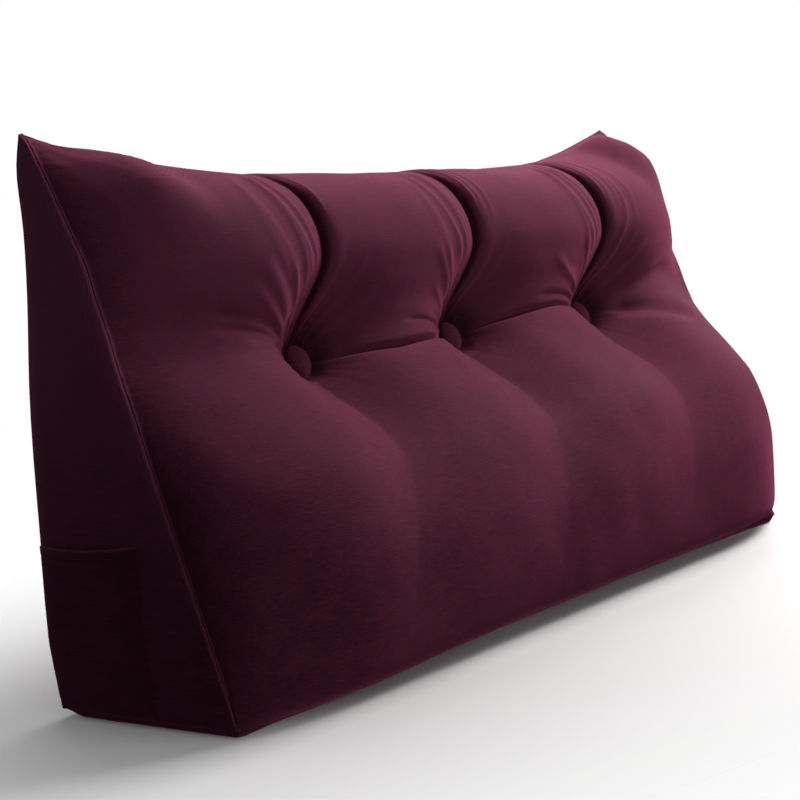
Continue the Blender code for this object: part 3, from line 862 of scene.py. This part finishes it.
def painted_fold_shade(form, tufts, x, at, face):
    """Painted shade: 1 in the pits by the buttons and down the creases, less beside the end seams.
    """
    lean = smooth_read(column(FACE, "lean"), at)
    painted_shade = np.zeros_like(x)
    for button_x in BUTTON_X:
        off = face - button_seat(form, tufts, button_x)
        radius = np.linalg.norm(off, axis=-1)
        upper_right = off[..., (0, 2)] @ DARK_TOWARDS / (radius + 1e-9)
        past = radius - tufts.radius - DARK_PIT.away
        pit = np.exp(-((past / np.where(past < 0, DARK_PIT.inner, DARK_PIT.outer)) ** 2))
        pit *= ease(DARK_PIT.share + DARK_PIT.turn * upper_right)
        aside = np.abs(x - button_x + lean - DARK_CREASE.right)
        crease = DARK_CREASE.share * np.exp(-((aside / DARK_CREASE.width) ** 2))
        crease *= fading_in(at, PAINTED_SHADE_FROM) * ease((PAINTED_SHADE_TO.row - at) / PAINTED_SHADE_TO.rows)
        painted_shade = np.maximum(painted_shade, np.maximum(pit, crease))
    away = seam_distance(face)
    band = DARK_BAND.share * hump(np.maximum(away - DARK_BAND.flat, 0), DARK_BAND.reach)
    return np.maximum(painted_shade, band * ease((away - DARK_BAND.start) / DARK_BAND.fade))


# A painted highlight line along a seam
def painted_highlight_line(line, distance):
    return line.share * hump(distance - line.away, line.reach)


def loose_height(x, run):
    """The slow unevenness of a filled cover."""
    wave = np.sin(x / 0.031 + 1.8 * np.sin(run / 0.047))
    wave += 0.8 * np.sin(run / 0.024 + 1.5 * np.sin(x / 0.039 + 0.7))
    wave += 0.6 * np.sin((x + 0.7 * run) / 0.016 + 2.0 * np.sin(x / 0.083))
    return 0.00035 * wave


def grid_normals(points):
    """Outward normals of a grid whose second direction closes on itself."""
    along = np.gradient(points, axis=0)
    after = np.roll(points, -1, axis=1) - np.roll(points, 1, axis=1)
    normals = np.cross(along, after)
    size = np.linalg.norm(normals, axis=-1, keepdims=True)
    normals = normals / np.maximum(size, 1e-12)
    middle = points.mean(axis=1, keepdims=True)
    if ((points - middle) * normals).sum() < 0:
        normals = -normals
    return normals


def cover_grid(form, tufts):
    """The whole cover but its ends, as rings along the pillow.

    It comes with the painted light at each point, from -1 for full painted shade to 1 for a full
    painted highlight, and with the numbers at which the three long seams start on a ring.
    """
    x = along_places(form)
    rows = face_rows(form)[:-1]
    at_table, run_table = run_of_rows(form)

    def row_run(row):
        return np.interp(row, at_table, run_table)

    where, at = np.meshgrid(x, rows, indexing="ij")
    run = row_run(at)
    face = tufted_face(form, tufts, where, at)
    parts = [face, *plain_parts(form, x)]
    points = np.concatenate(parts, axis=1)
    seams = np.concatenate(([0], np.cumsum([part.shape[1] for part in parts])))
    normals = grid_normals(points)
    middle = points[len(x) // 2]
    step = np.linalg.norm(np.diff(middle, axis=0, append=middle[:1]), axis=1)
    ring_run = np.concatenate(([0], np.cumsum(step)))
    from_seam = np.min([np.abs(ring_run[:-1] - ring_run[seam]) for seam in seams], axis=0)
    from_seam = np.broadcast_to(from_seam, points.shape[:2])
    away = seam_distance(points)
    along_ring = np.broadcast_to(ring_run[:-1], points.shape[:2])
    along_x = np.broadcast_to(x[:, None], points.shape[:2])
    heights = welt_height(form, away) + welt_height(form, from_seam)
    heights += pucker_height(form, away, along_ring) + pucker_height(form, from_seam, along_x)
    calm = ease(np.minimum(away, from_seam) / 0.02)
    heights += calm * loose_height(along_x, along_ring)
    pleats = pleat_heights(form, tufts, where, run, row_run)
    pleats += gather_heights(tufts, where, run, row_run)
    for button_x in BUTTON_X:
        off = np.linalg.norm(face - button_seat(form, tufts, button_x), axis=-1)
        clear = ease((off - tufts.radius) / 0.010)
        pleats *= clear
        heights[:, : len(rows)] *= clear
    heights[:, : len(rows)] += pleats
    # The base keeps flat where it stands
    standing = hump(np.maximum(points[..., 2], 0), 0.004) * (normals[..., 2] < -0.7)
    heights *= 1 - standing
    heights[0] = 0
    heights[-1] = 0
    points = points + heights[..., None] * normals
    points[..., 2] = np.maximum(points[..., 2], 0)
    # Painted highlight lines along the seams and on the raised pleats
    worn = painted_highlight_line(END_SEAM_LINE, away) + painted_highlight_line(LONG_SEAM_LINE, from_seam)
    worn[:, : len(rows)] += np.clip(pleats / FULL_PLEAT, 0, 1) * PLEAT_LINE_SHARE
    # Painted light: the velvet is painted lighter towards the top
    worn += painted_top_light(points[..., 2])
    # Painted shade in the pits, down the creases and beside the end seams
    painted_shade = painted_fold_shade(form, tufts, where, at, face)
    worn[:, : len(rows)] = worn[:, : len(rows)] * (1 - painted_shade) - painted_shade
    return points, np.clip(worn, -1, 1), seams[:3]


def seam_gap(points, seam):
    """Distance of each point from a seam's line, looking along the pillow."""
    starts = seam[:-1, 1:]
    steps = np.diff(seam[:, 1:], axis=0)
    nearest = np.full(len(points), np.inf)
    for start, step in zip(starts, steps):
        from_start = points[:, 1:] - start
        share = np.clip(from_start @ step / max(step @ step, 1e-12), 0, 1)
        nearest = np.minimum(nearest, np.linalg.norm(from_start - share[:, None] * step, axis=1))
    return nearest


def end_rings(form, rim, corners, side, shares):
    """Points over an end, from the rim inwards to the middle, and their distance from its seams.

    corners gives where its three seams start on the rim.
    """
    middle = rim.mean(axis=0)
    points = np.concatenate((*(rim + share * (middle - rim) for share in shares), [middle]))
    closed = np.concatenate((rim, rim[:1]))
    gaps = [
        seam_gap(points, closed[first:last + 1])
        for first, last in zip(corners, (*corners[1:], len(rim)))
    ]
    rise = np.prod(gaps, axis=0)
    crown = form.end_crown * (rise / rise.max()) ** form.crown_flat
    points[:, 0] = side * (cushion_end(form) - ear_lean(form, points[:, 2]) + crown)
    return points, np.min(gaps, axis=0)


def bridge(first, second, count):
    """Faces between two rings of count points that start at the numbers first and second."""
    return [
        (first + step, first + (step + 1) % count, second + (step + 1) % count, second + step)
        for step in range(count)
    ]


def cap_faces(starts, middle, count):
    """Faces over an end: between its rings, and a fan to the middle point."""
    faces = []
    for outer, inner in zip(starts, starts[1:]):
        faces += bridge(outer, inner, count)
    faces += [(starts[-1] + step, starts[-1] + (step + 1) % count, middle) for step in range(count)]
    return faces


def new_piece(name, points, faces, material, stands_for, worn=None):
    """A closed piece, shaded smooth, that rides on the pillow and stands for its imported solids."""
    mesh = bpy.data.meshes.new(name)
    mesh.from_pydata([tuple(point) for point in points], [], faces)
    shape = bmesh.new()
    shape.from_mesh(mesh)
    bmesh.ops.recalc_face_normals(shape, faces=shape.faces)
    shape.to_mesh(mesh)
    shape.free()
    mesh.shade_smooth()
    values = np.zeros(len(points)) if worn is None else worn
    attribute = mesh.attributes.new("worn", "FLOAT", "POINT")
    attribute.data.foreach_set("value", values.astype(np.float32))
    mesh.materials.append(material)
    piece = bpy.data.objects.new(name, mesh)
    bpy.context.scene.collection.objects.link(piece)
    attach(piece, "root")
    if stands_for:
        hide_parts(stands_for)
    return piece


def velvet(context, finish):
    """Short-pile velvet with streaks, painted highlights on ridges and painted shade in folds."""
    look = context.scene.pillow_velvet
    material = bpy.data.materials.new(finish.name)
    material.use_nodes = True
    tree = material.node_tree
    nodes = tree.nodes
    links = tree.links
    surface = nodes["Principled BSDF"]
    place = nodes.new("ShaderNodeTexCoord")

    def noise(scale, detail, rough, stretch=None):
        texture = nodes.new("ShaderNodeTexNoise")
        texture.inputs["Scale"].default_value = scale
        texture.inputs["Detail"].default_value = detail
        texture.inputs["Roughness"].default_value = rough
        source = place.outputs["Object"]
        if stretch:
            mapping = nodes.new("ShaderNodeMapping")
            mapping.inputs["Scale"].default_value = stretch
            links.new(source, mapping.inputs["Vector"])
            source = mapping.outputs["Vector"]
        links.new(source, texture.inputs["Vector"])
        return texture.outputs["Fac"]

    def spread_out(value, low, high, bottom, top):
        ranged = nodes.new("ShaderNodeMapRange")
        ranged.inputs["From Min"].default_value = low
        ranged.inputs["From Max"].default_value = high
        ranged.inputs["To Min"].default_value = bottom
        ranged.inputs["To Max"].default_value = top
        links.new(value, ranged.inputs["Value"])
        return ranged.outputs["Result"]

    def blended(share, first, second):
        mix = nodes.new("ShaderNodeMix")
        mix.data_type = "RGBA"
        links.new(share, mix.inputs["Factor"])
        for source, socket in ((first, mix.inputs["A"]), (second, mix.inputs["B"])):
            if isinstance(source, bpy.types.NodeSocket):
                links.new(source, socket)
            else:
                socket.default_value = (*source, 1.0)
        return mix.outputs["Result"]

    def toned(colour):
        return [finish.tone * channel for channel in colour]

    def added(first, second):
        total = nodes.new("ShaderNodeMath")
        total.operation = "ADD"
        links.new(first, total.inputs[0])
        links.new(second, total.inputs[1])
        return total

    def bump(height, strength, under=None):
        raised = nodes.new("ShaderNodeBump")
        raised.inputs["Strength"].default_value = strength
        raised.inputs["Distance"].default_value = look.pile
        links.new(height, raised.inputs["Height"])
        if under:
            links.new(under, raised.inputs["Normal"])
        return raised.outputs["Normal"]

    streaks = noise(scale=1.0, detail=3.0, rough=0.62, stretch=finish.grain)
    drift = noise(scale=7.0, detail=3.0, rough=0.55)
    mottle = noise(scale=46.0, detail=2.0, rough=0.5)
    pile = noise(scale=1500.0, detail=1.0, rough=0.5)
    laid = added(
        spread_out(streaks, low=0.34, high=0.66, bottom=-0.08, top=0.80),
        spread_out(drift, low=0.35, high=0.65, bottom=-0.14, top=0.30),
    )
    mottled = spread_out(mottle, low=0.35, high=0.65, bottom=-0.12, top=0.26)
    lifted = added(laid.outputs[0], mottled)
    lifted.use_clamp = True
    base = blended(lifted.outputs[0], toned(look.shade), toned(look.colour))
    # Painted light: above 0 the attribute blends in the highlight colour, below 0 painted shade
    painted_light_node = nodes.new("ShaderNodeAttribute")
    painted_light_node.attribute_name = "worn"
    highlighted = blended(painted_light_node.outputs["Fac"], base, toned(look.highlighted))
    # Painted shade: below 0 the attribute darkens the colour towards a deep tone
    painted_shade = spread_out(painted_light_node.outputs["Fac"], low=-1.0, high=0.0, bottom=1.0, top=0.0)
    dark = [PAINTED_SHADE_TONE * channel for channel in toned(look.shade)]
    links.new(blended(painted_shade, highlighted, dark), surface.inputs["Base Color"])
    rough = spread_out(drift, low=0.3, high=0.7, bottom=0.78, top=0.92)
    links.new(rough, surface.inputs["Roughness"])
    relief = bump(pile, strength=0.35, under=bump(streaks, strength=0.45))
    links.new(relief, surface.inputs["Normal"])
    surface.inputs["Metallic"].default_value = 0.0
    surface.inputs["Specular IOR Level"].default_value = 0.03
    surface.inputs["Sheen Weight"].default_value = look.sheen_weight
    surface.inputs["Sheen Roughness"].default_value = 0.50
    surface.inputs["Sheen Tint"].default_value = (*look.sheen, 1.0)
    return material


class PILLOW_OT_cushion(Operator):
    """Build the filled cushion with its folds, pleats and seams"""

    bl_idname = "pillow.cushion"
    bl_label = "Cushion"

    def execute(self, context):
        form = context.scene.pillow_form
        tufts = context.scene.pillow_tufts
        grid, worn, corners = cover_grid(form, tufts)
        places, count = grid.shape[:2]
        points = [grid.reshape(-1, 3)]
        faces = []
        for ring in range(places - 1):
            faces += bridge(ring * count, (ring + 1) * count, count)
        start = places * count
        for side, ring in ((-1, 0), (1, places - 1)):
            points.append(end_rings(form, grid[ring], corners, side, HIDDEN_RINGS)[0])
            middle = start + count * len(HIDDEN_RINGS)
            faces += cap_faces([ring * count, *range(start, middle, count)], middle, count)
            start = middle + 1
        points = np.concatenate(points)
        worn = np.concatenate((worn.reshape(-1), np.zeros(len(points) - worn.size)))
        material = velvet(context, COVER)
        cushion = new_piece(
            "tufted_cushion", points, faces, material, "cushion", worn
        )
        return {"FINISHED"}


class PILLOW_OT_end_panels(Operator):
    """Build the two end panels with their seams and soft unevenness"""

    bl_idname = "pillow.end_panels"
    bl_label = "End panels"

    def execute(self, context):
        form = context.scene.pillow_form
        tufts = context.scene.pillow_tufts
        end = cushion_end(form)
        rows = face_rows(form)[:-1]
        material = velvet(context, PANEL)
        for name, node, side in (
            ("left_end_panel", "end_panel_left", -1),
            ("right_end_panel", "end_panel_right", 1),
        ):
            edge = np.array([side * end])
            parts = [tufted_face(form, tufts, *np.meshgrid(edge, rows, indexing="ij"))[0]]
            parts += [part[0] for part in plain_parts(form, edge)]
            rim = np.concatenate(parts)
            count = len(rim)
            corners = (0, len(parts[0]), len(parts[0]) + len(parts[1]))
            inner, distance = end_rings(form, rim, corners, side, PANEL_RINGS)
            inner = np.concatenate((rim, inner))
            inner[:, 0] += side * form.gap
            distance = np.concatenate((np.zeros(count), distance))
            run = np.concatenate(([0], np.cumsum(np.linalg.norm(np.diff(rim, axis=0), axis=1))))
            run = np.append(np.tile(run, len(PANEL_RINGS) + 1), 0)
            y, z = inner[:, 1], inner[:, 2]
            slack = np.sin(y / 0.016 + 1.3 * np.sin(z / 0.09)) + 0.7 * np.sin(z / 0.038 + y / 0.05)
            height = 0.25 * welt_height(form, distance) + 0.5 * pucker_height(form, distance, run)
            height += 0.0004 * slack * ease(distance / 0.04)
            outer = inner.copy()
            outer[:, 0] += side * (form.cloth + np.maximum(height, -0.6 * form.cloth))
            size = len(inner)
            faces = cap_faces([*range(0, size - 1, count)], size - 1, count)
            faces += [tuple(size + corner for corner in face) for face in faces]
            faces += bridge(0, size, count)
            # Painted highlights along the seams and painted light, lighter towards the top
            worn = painted_highlight_line(PANEL_SEAM_LINE, distance) + 2.0 * painted_top_light(inner[:, 2])
            worn = np.concatenate((worn, worn))
            points = np.concatenate((inner, outer))
            panel = new_piece(name, points, faces, material, node, worn)
        return {"FINISHED"}


class PILLOW_OT_pocket(Operator):
    """Build the patch pocket on the left end, with its hem and stitches"""

    bl_idname = "pillow.pocket"
    bl_label = "Pocket"

    def execute(self, context):
        form = context.scene.pillow_form
        size = context.scene.pillow_pocket
        hem_share = 1 - size.hem / (size.top - form.height * BASE[0].seam_up)
        panel = self.skin_of(bpy.data.objects["left_end_panel"])
        pocket = self.cloth(context, panel, hem_share)
        self.sew(context, self.skin_of(pocket), hem_share)
        return {"FINISHED"}

    @staticmethod
    def skin_of(piece):
        """The surface of a piece, to find places on."""
        points = [point.co for point in piece.data.vertices]
        return BVHTree.FromPolygons(points, [face.vertices for face in piece.data.polygons])

    @staticmethod
    def place(context, skin, share, height):
        """The point of the surface at a place of the pocket, by shares of its width and height."""
        form = context.scene.pillow_form
        size = context.scene.pillow_pocket
        base_z = form.height * BASE[0].seam_up + size.inset
        mouth = size.top + size.tilt * (1 - share) - size.sag * np.sin(np.pi * share)
        z = base_z + height * (mouth - base_z)
        seam = form.depth * np.interp(
            z / form.height, np.sort(column(BACK, "seam_up")), column(BACK, "seam_forward")[::-1]
        )
        front = -size.front
        back = form.depth / 2 - seam - size.inset
        y = front + share * (back - front)
        found = skin.ray_cast(Vector((-form.length, y, z)), Vector((1, 0, 0)))[0]
        if found is None:
            raise RuntimeError("the pocket misses the end panel")
        return found

    def cloth(self, context, panel, hem_share):
        """The pocket's cloth over the panel: thin at its sewn edges, thicker at the hem."""
        gap = context.scene.pillow_form.gap
        mouth_gape = context.scene.pillow_pocket.gape
        heights = np.concatenate((
            np.linspace(0, hem_share - 0.012, POCKET_ROWS),
            np.linspace(hem_share - 0.006, 1, HEM_ROWS),
        ))
        inner, outer, worn = [], [], []
        for height in heights:
            for share in np.linspace(0, 1, POCKET_COLUMNS + 1):
                found = self.place(context, panel, share, height)
                # The mouth stands off a little between its two sewn corners
                gape = np.sin(np.pi * share) ** 1.5 * ease((height - 0.80) / 0.20)
                edge = min(share, height) * 0.12
                thick = EDGE_THICKNESS + INNER_THICKNESS * ease(edge / POCKET_EDGE)
                thick += HEM_THICKNESS * ease((height - hem_share) / 0.030)
                thick -= HEM_THICKNESS * hump(height - hem_share, 0.012)
                x = found.x - gap - mouth_gape * gape
                inner.append((x, found.y, found.z))
                outer.append((x - thick, found.y, found.z))
                # Painted highlight along the top edge of the pocket's mouth
                worn.append(ease((height - 0.984) / 0.008))
        size = len(inner)
        wide = POCKET_COLUMNS + 1
        faces = []
        for corner in range(0, size - wide, wide):
            for first in range(corner, corner + POCKET_COLUMNS):
                faces.append((first, first + 1, first + wide + 1, first + wide))
        faces += [tuple(size + corner for corner in face[::-1]) for face in faces]
        top = size - wide
        rim = [*range(POCKET_COLUMNS), *range(POCKET_COLUMNS, size - 1, wide)]
        rim += [*range(size - 1, top, -1), *range(top, 0, -wide)]
        for corner, after in zip(rim, rim[1:] + rim[:1]):
            faces.append((corner, after, size + after, size + corner))
        material = velvet(context, POCKET)
        worn = np.array(worn + worn)
        points = inner + outer
        return new_piece(
            "patch_pocket", points, faces, material, "pocket_left", worn
        )

    def sew(self, context, cover, hem_share):
        """Lays a row of small stitches along the hem and down the front edge."""
        lines = (
            [(share, hem_share) for share in np.linspace(0.03, 0.97, 121)],
            [(0.030, height) for height in np.linspace(0.03, hem_share, 141)],
        )
        points, faces = [], []
        for line in lines:
            path = [self.place(context, cover, *spot) for spot in line]
            gone = 0.0
            for start, spot in zip(path, path[1:]):
                gone += (spot - start).length
                if gone > STITCH.pace:
                    along = (spot - start).normalized() * STITCH.length
                    self.stitch(points, faces, spot, along)
                    gone = 0.0
        new_piece(
            "pocket_stitches", points, faces, velvet(context, THREAD), None
        )

    @staticmethod
    def stitch(points, faces, place, along, sides=6):
        """One stitch: a short thread, fat in the middle, half sunk in the cloth."""
        first = len(points)
        side = along.cross(Vector((1, 0, 0))).normalized()
        shares = (-0.5, -0.38, 0.0, 0.38, 0.5)
        for share in shares:
            fat = STITCH.radius * math.sqrt(max(1 - (2 * share) ** 2, 0.02))
            for step in range(sides):
                angle = 2 * math.pi * step / sides
                off = side * math.cos(angle) + Vector((-1, 0, 0)) * (math.sin(angle) + 0.3)
                points.append(tuple(place + along * share + off * fat))
        for ring in range(len(shares) - 1):
            faces += bridge(first + ring * sides, first + (ring + 1) * sides, sides)
        faces.append(tuple(first + step for step in range(sides)))
        faces.append(tuple(first + (len(shares) - 1) * sides + step for step in range(sides)))


class PILLOW_OT_buttons(Operator):
    """Build the three covered buttons in their seats"""

    bl_idname = "pillow.buttons"
    bl_label = "Buttons"

    def execute(self, context):
        form = context.scene.pillow_form
        tufts = context.scene.pillow_tufts
        material = velvet(context, BUTTON)
        outward = Vector(outward_of(form))
        turn = outward.to_track_quat("Z", "Y").to_matrix()
        sides = BUTTON_SIDES
        profile = list(BUTTON_BACK)
        rim_up = profile[-1][1]
        for step in range(1, DOME_RINGS):
            angle = np.pi / 2 * step / DOME_RINGS
            up = rim_up + (1 - rim_up) * np.sin(angle) ** 1.15
            profile.append((np.cos(angle) ** 0.8, up))
        profile.append((0.0, 1.0))
        names = ("button_left", "button_middle", "button_right")
        for number, (node, x) in enumerate(zip(names, BUTTON_X)):
            seat = Vector(button_seat(form, tufts, x)) + form.gap * outward
            points = [seat]
            faces = []
            for wide, up in profile[1:-1]:
                for step in range(sides):
                    angle = 2 * math.pi * step / sides
                    gather = 0.006 * math.sin(19 * angle + number) + 0.004 * math.sin(31 * angle)
                    gather *= hump(up - 0.30, 0.42) if up < 0.72 else 0
                    reach = wide * (1 + gather) * tufts.radius
                    off = (reach * math.cos(angle), reach * math.sin(angle), up * tufts.dome)
                    points.append(seat + turn @ Vector(off))
            points.append(seat + tufts.dome * outward)
            rings = len(profile) - 2
            for ring in range(rings - 1):
                faces += bridge(1 + ring * sides, 1 + (ring + 1) * sides, sides)
            for step in range(sides):
                after = (step + 1) % sides
                faces.append((0, 1 + after, 1 + step))
                last = 1 + (rings - 1) * sides
                faces.append((len(points) - 1, last + step, last + after))
            new_piece(f"covered_{node}", points, faces, material, node)
        return {"FINISHED"}


class PILLOW_OT_stage(Operator):
    """Set up the floor, the soft studio lights and the camera"""

    bl_idname = "pillow.stage"
    bl_label = "Stage"

    def execute(self, context):
        stage = context.scene.pillow_stage
        self.floor(stage)
        self.world(context, stage)
        for lamp in LAMPS:
            self.light(lamp, getattr(stage, lamp.name))
        self.camera(context)
        return {"FINISHED"}

    def floor(self, stage):
        """A pale floor that fades into the white studio far from the pillow."""
        material = bpy.data.materials.new("pale_floor")
        material.use_nodes = True
        nodes = material.node_tree.nodes
        links = material.node_tree.links
        surface = nodes["Principled BSDF"]
        surface.inputs["Base Color"].default_value = (*stage.floor, 1.0)
        surface.inputs["Roughness"].default_value = 0.6
        surface.inputs["Specular IOR Level"].default_value = 0.1
        place = nodes.new("ShaderNodeTexCoord")
        shape = nodes.new("ShaderNodeVectorMath")
        shape.operation = "MULTIPLY"
        shape.inputs[1].default_value = FLOOR_SHAPE
        far = nodes.new("ShaderNodeVectorMath")
        far.operation = "LENGTH"
        fade = nodes.new("ShaderNodeMapRange")
        fade.interpolation_type = "SMOOTHSTEP"
        fade.inputs["From Min"].default_value, fade.inputs["From Max"].default_value = FLOOR_FADE
        clear = nodes.new("ShaderNodeBsdfTransparent")
        mix = nodes.new("ShaderNodeMixShader")
        links.new(place.outputs["Object"], shape.inputs[0])
        links.new(shape.outputs["Vector"], far.inputs[0])
        links.new(far.outputs["Value"], fade.inputs["Value"])
        links.new(fade.outputs["Result"], mix.inputs["Fac"])
        links.new(surface.outputs["BSDF"], mix.inputs[1])
        links.new(clear.outputs["BSDF"], mix.inputs[2])
        links.new(mix.outputs["Shader"], nodes["Material Output"].inputs["Surface"])
        mesh = bpy.data.meshes.new("floor")
        turns = ((-1, -1), (1, -1), (1, 1), (-1, 1))
        corners = [(FLOOR_REACH * x, FLOOR_REACH * y, 0) for x, y in turns]
        mesh.from_pydata(corners, [], [(0, 1, 2, 3)])
        mesh.materials.append(material)
        floor = bpy.data.objects.new("floor", mesh)
        floor.visible_diffuse = False
        floor.visible_glossy = False
        bpy.context.scene.collection.objects.link(floor)

    def world(self, context, stage):
        """A little even light from all round, and a white studio behind everything."""
        world = bpy.data.worlds.new("studio")
        world.use_nodes = True
        nodes = world.node_tree.nodes
        links = world.node_tree.links
        nodes.clear()
        output = nodes.new("ShaderNodeOutputWorld")
        even = nodes.new("ShaderNodeBackground")
        even.inputs["Color"].default_value = AMBIENT_COLOUR
        even.inputs["Strength"].default_value = stage.ambient
        white = nodes.new("ShaderNodeBackground")
        white.inputs["Color"].default_value = (1.0, 1.0, 1.0, 1.0)
        rays = nodes.new("ShaderNodeLightPath")
        mix = nodes.new("ShaderNodeMixShader")
        links.new(rays.outputs["Is Camera Ray"], mix.inputs["Fac"])
        links.new(even.outputs["Background"], mix.inputs[1])
        links.new(white.outputs["Background"], mix.inputs[2])
        links.new(mix.outputs["Shader"], output.inputs["Surface"])
        context.scene.world = world
        context.scene.view_settings.view_transform = "Standard"

    def light(self, lamp, power):
        """A soft square light, aimed at the pillow."""
        data = bpy.data.lights.new(lamp.name, "AREA")
        data.energy = power
        data.size = lamp.size
        data.color = LAMP_COLOUR
        light = bpy.data.objects.new(lamp.name, data)
        light.location = lamp.place
        light.visible_camera = False
        towards = Vector(LAMP_AIM) - light.location
        light.rotation_euler = towards.to_track_quat("-Z", "Y").to_euler()
        bpy.context.scene.collection.objects.link(light)

    def camera(self, context):
        """The camera, where the photograph was taken from."""
        data = bpy.data.cameras.new("camera")
        data.sensor_width = CAMERA_FILM
        data.lens = CAMERA_FOCUS_PIXELS / CAMERA_PIXELS * data.sensor_width
        camera = bpy.data.objects.new("camera", data)
        yaw, pitch, roll = CAMERA_YAW, CAMERA_PITCH, CAMERA_ROLL
        ahead = Vector(
            (math.sin(yaw) * math.cos(pitch), math.cos(yaw) * math.cos(pitch), -math.sin(pitch))
        )
        level = Vector((math.cos(yaw), -math.sin(yaw), 0.0))
        upright = level.cross(ahead)
        right = math.cos(roll) * level + math.sin(roll) * upright
        above = -math.sin(roll) * level + math.cos(roll) * upright
        axes = Matrix((right, above, -ahead)).transposed().to_4x4()
        camera.matrix_world = Matrix.Translation(CAMERA_PLACE) @ axes
        bpy.context.scene.collection.objects.link(camera)
        context.scene.camera = camera


class PILLOW_PT_panel(Panel):
    """Lists the pillow's settings and its pieces"""

    bl_idname = "PILLOW_PT_panel"
    bl_label = "Wedge pillow"
    bl_space_type = "VIEW_3D"
    bl_region_type = "UI"
    bl_category = "Pillow"

    def draw(self, context):
        for group in GROUPS:
            box = self.layout.box()
            settings = getattr(context.scene, group)
            for setting in settings.bl_rna.properties.keys():
                if setting not in ("rna_type", "name"):
                    box.prop(settings, setting)
        for operator in OPERATORS:
            self.layout.operator(operator.bl_idname)


GROUPS = {
    "pillow_form": PillowForm,
    "pillow_tufts": PillowTufts,
    "pillow_pocket": PillowPocket,
    "pillow_velvet": PillowVelvet,
    "pillow_stage": PillowStage,
}
OPERATORS = (
    PILLOW_OT_cushion,
    PILLOW_OT_end_panels,
    PILLOW_OT_pocket,
    PILLOW_OT_buttons,
    PILLOW_OT_stage,
)


def register():
    for name, group in GROUPS.items():
        bpy.utils.register_class(group)
        setattr(bpy.types.Scene, name, PointerProperty(type=group))
    for operator in OPERATORS:
        bpy.utils.register_class(operator)
    bpy.utils.register_class(PILLOW_PT_panel)


def unregister():
    bpy.utils.unregister_class(PILLOW_PT_panel)
    for operator in reversed(OPERATORS):
        bpy.utils.unregister_class(operator)
    for name, group in GROUPS.items():
        delattr(bpy.types.Scene, name)
        bpy.utils.unregister_class(group)


def main():
    register()
    bpy.ops.pillow.cushion()
    bpy.ops.pillow.end_panels()
    bpy.ops.pillow.pocket()
    bpy.ops.pillow.buttons()
    bpy.ops.pillow.stage()


if __name__ == "__main__":
    main()
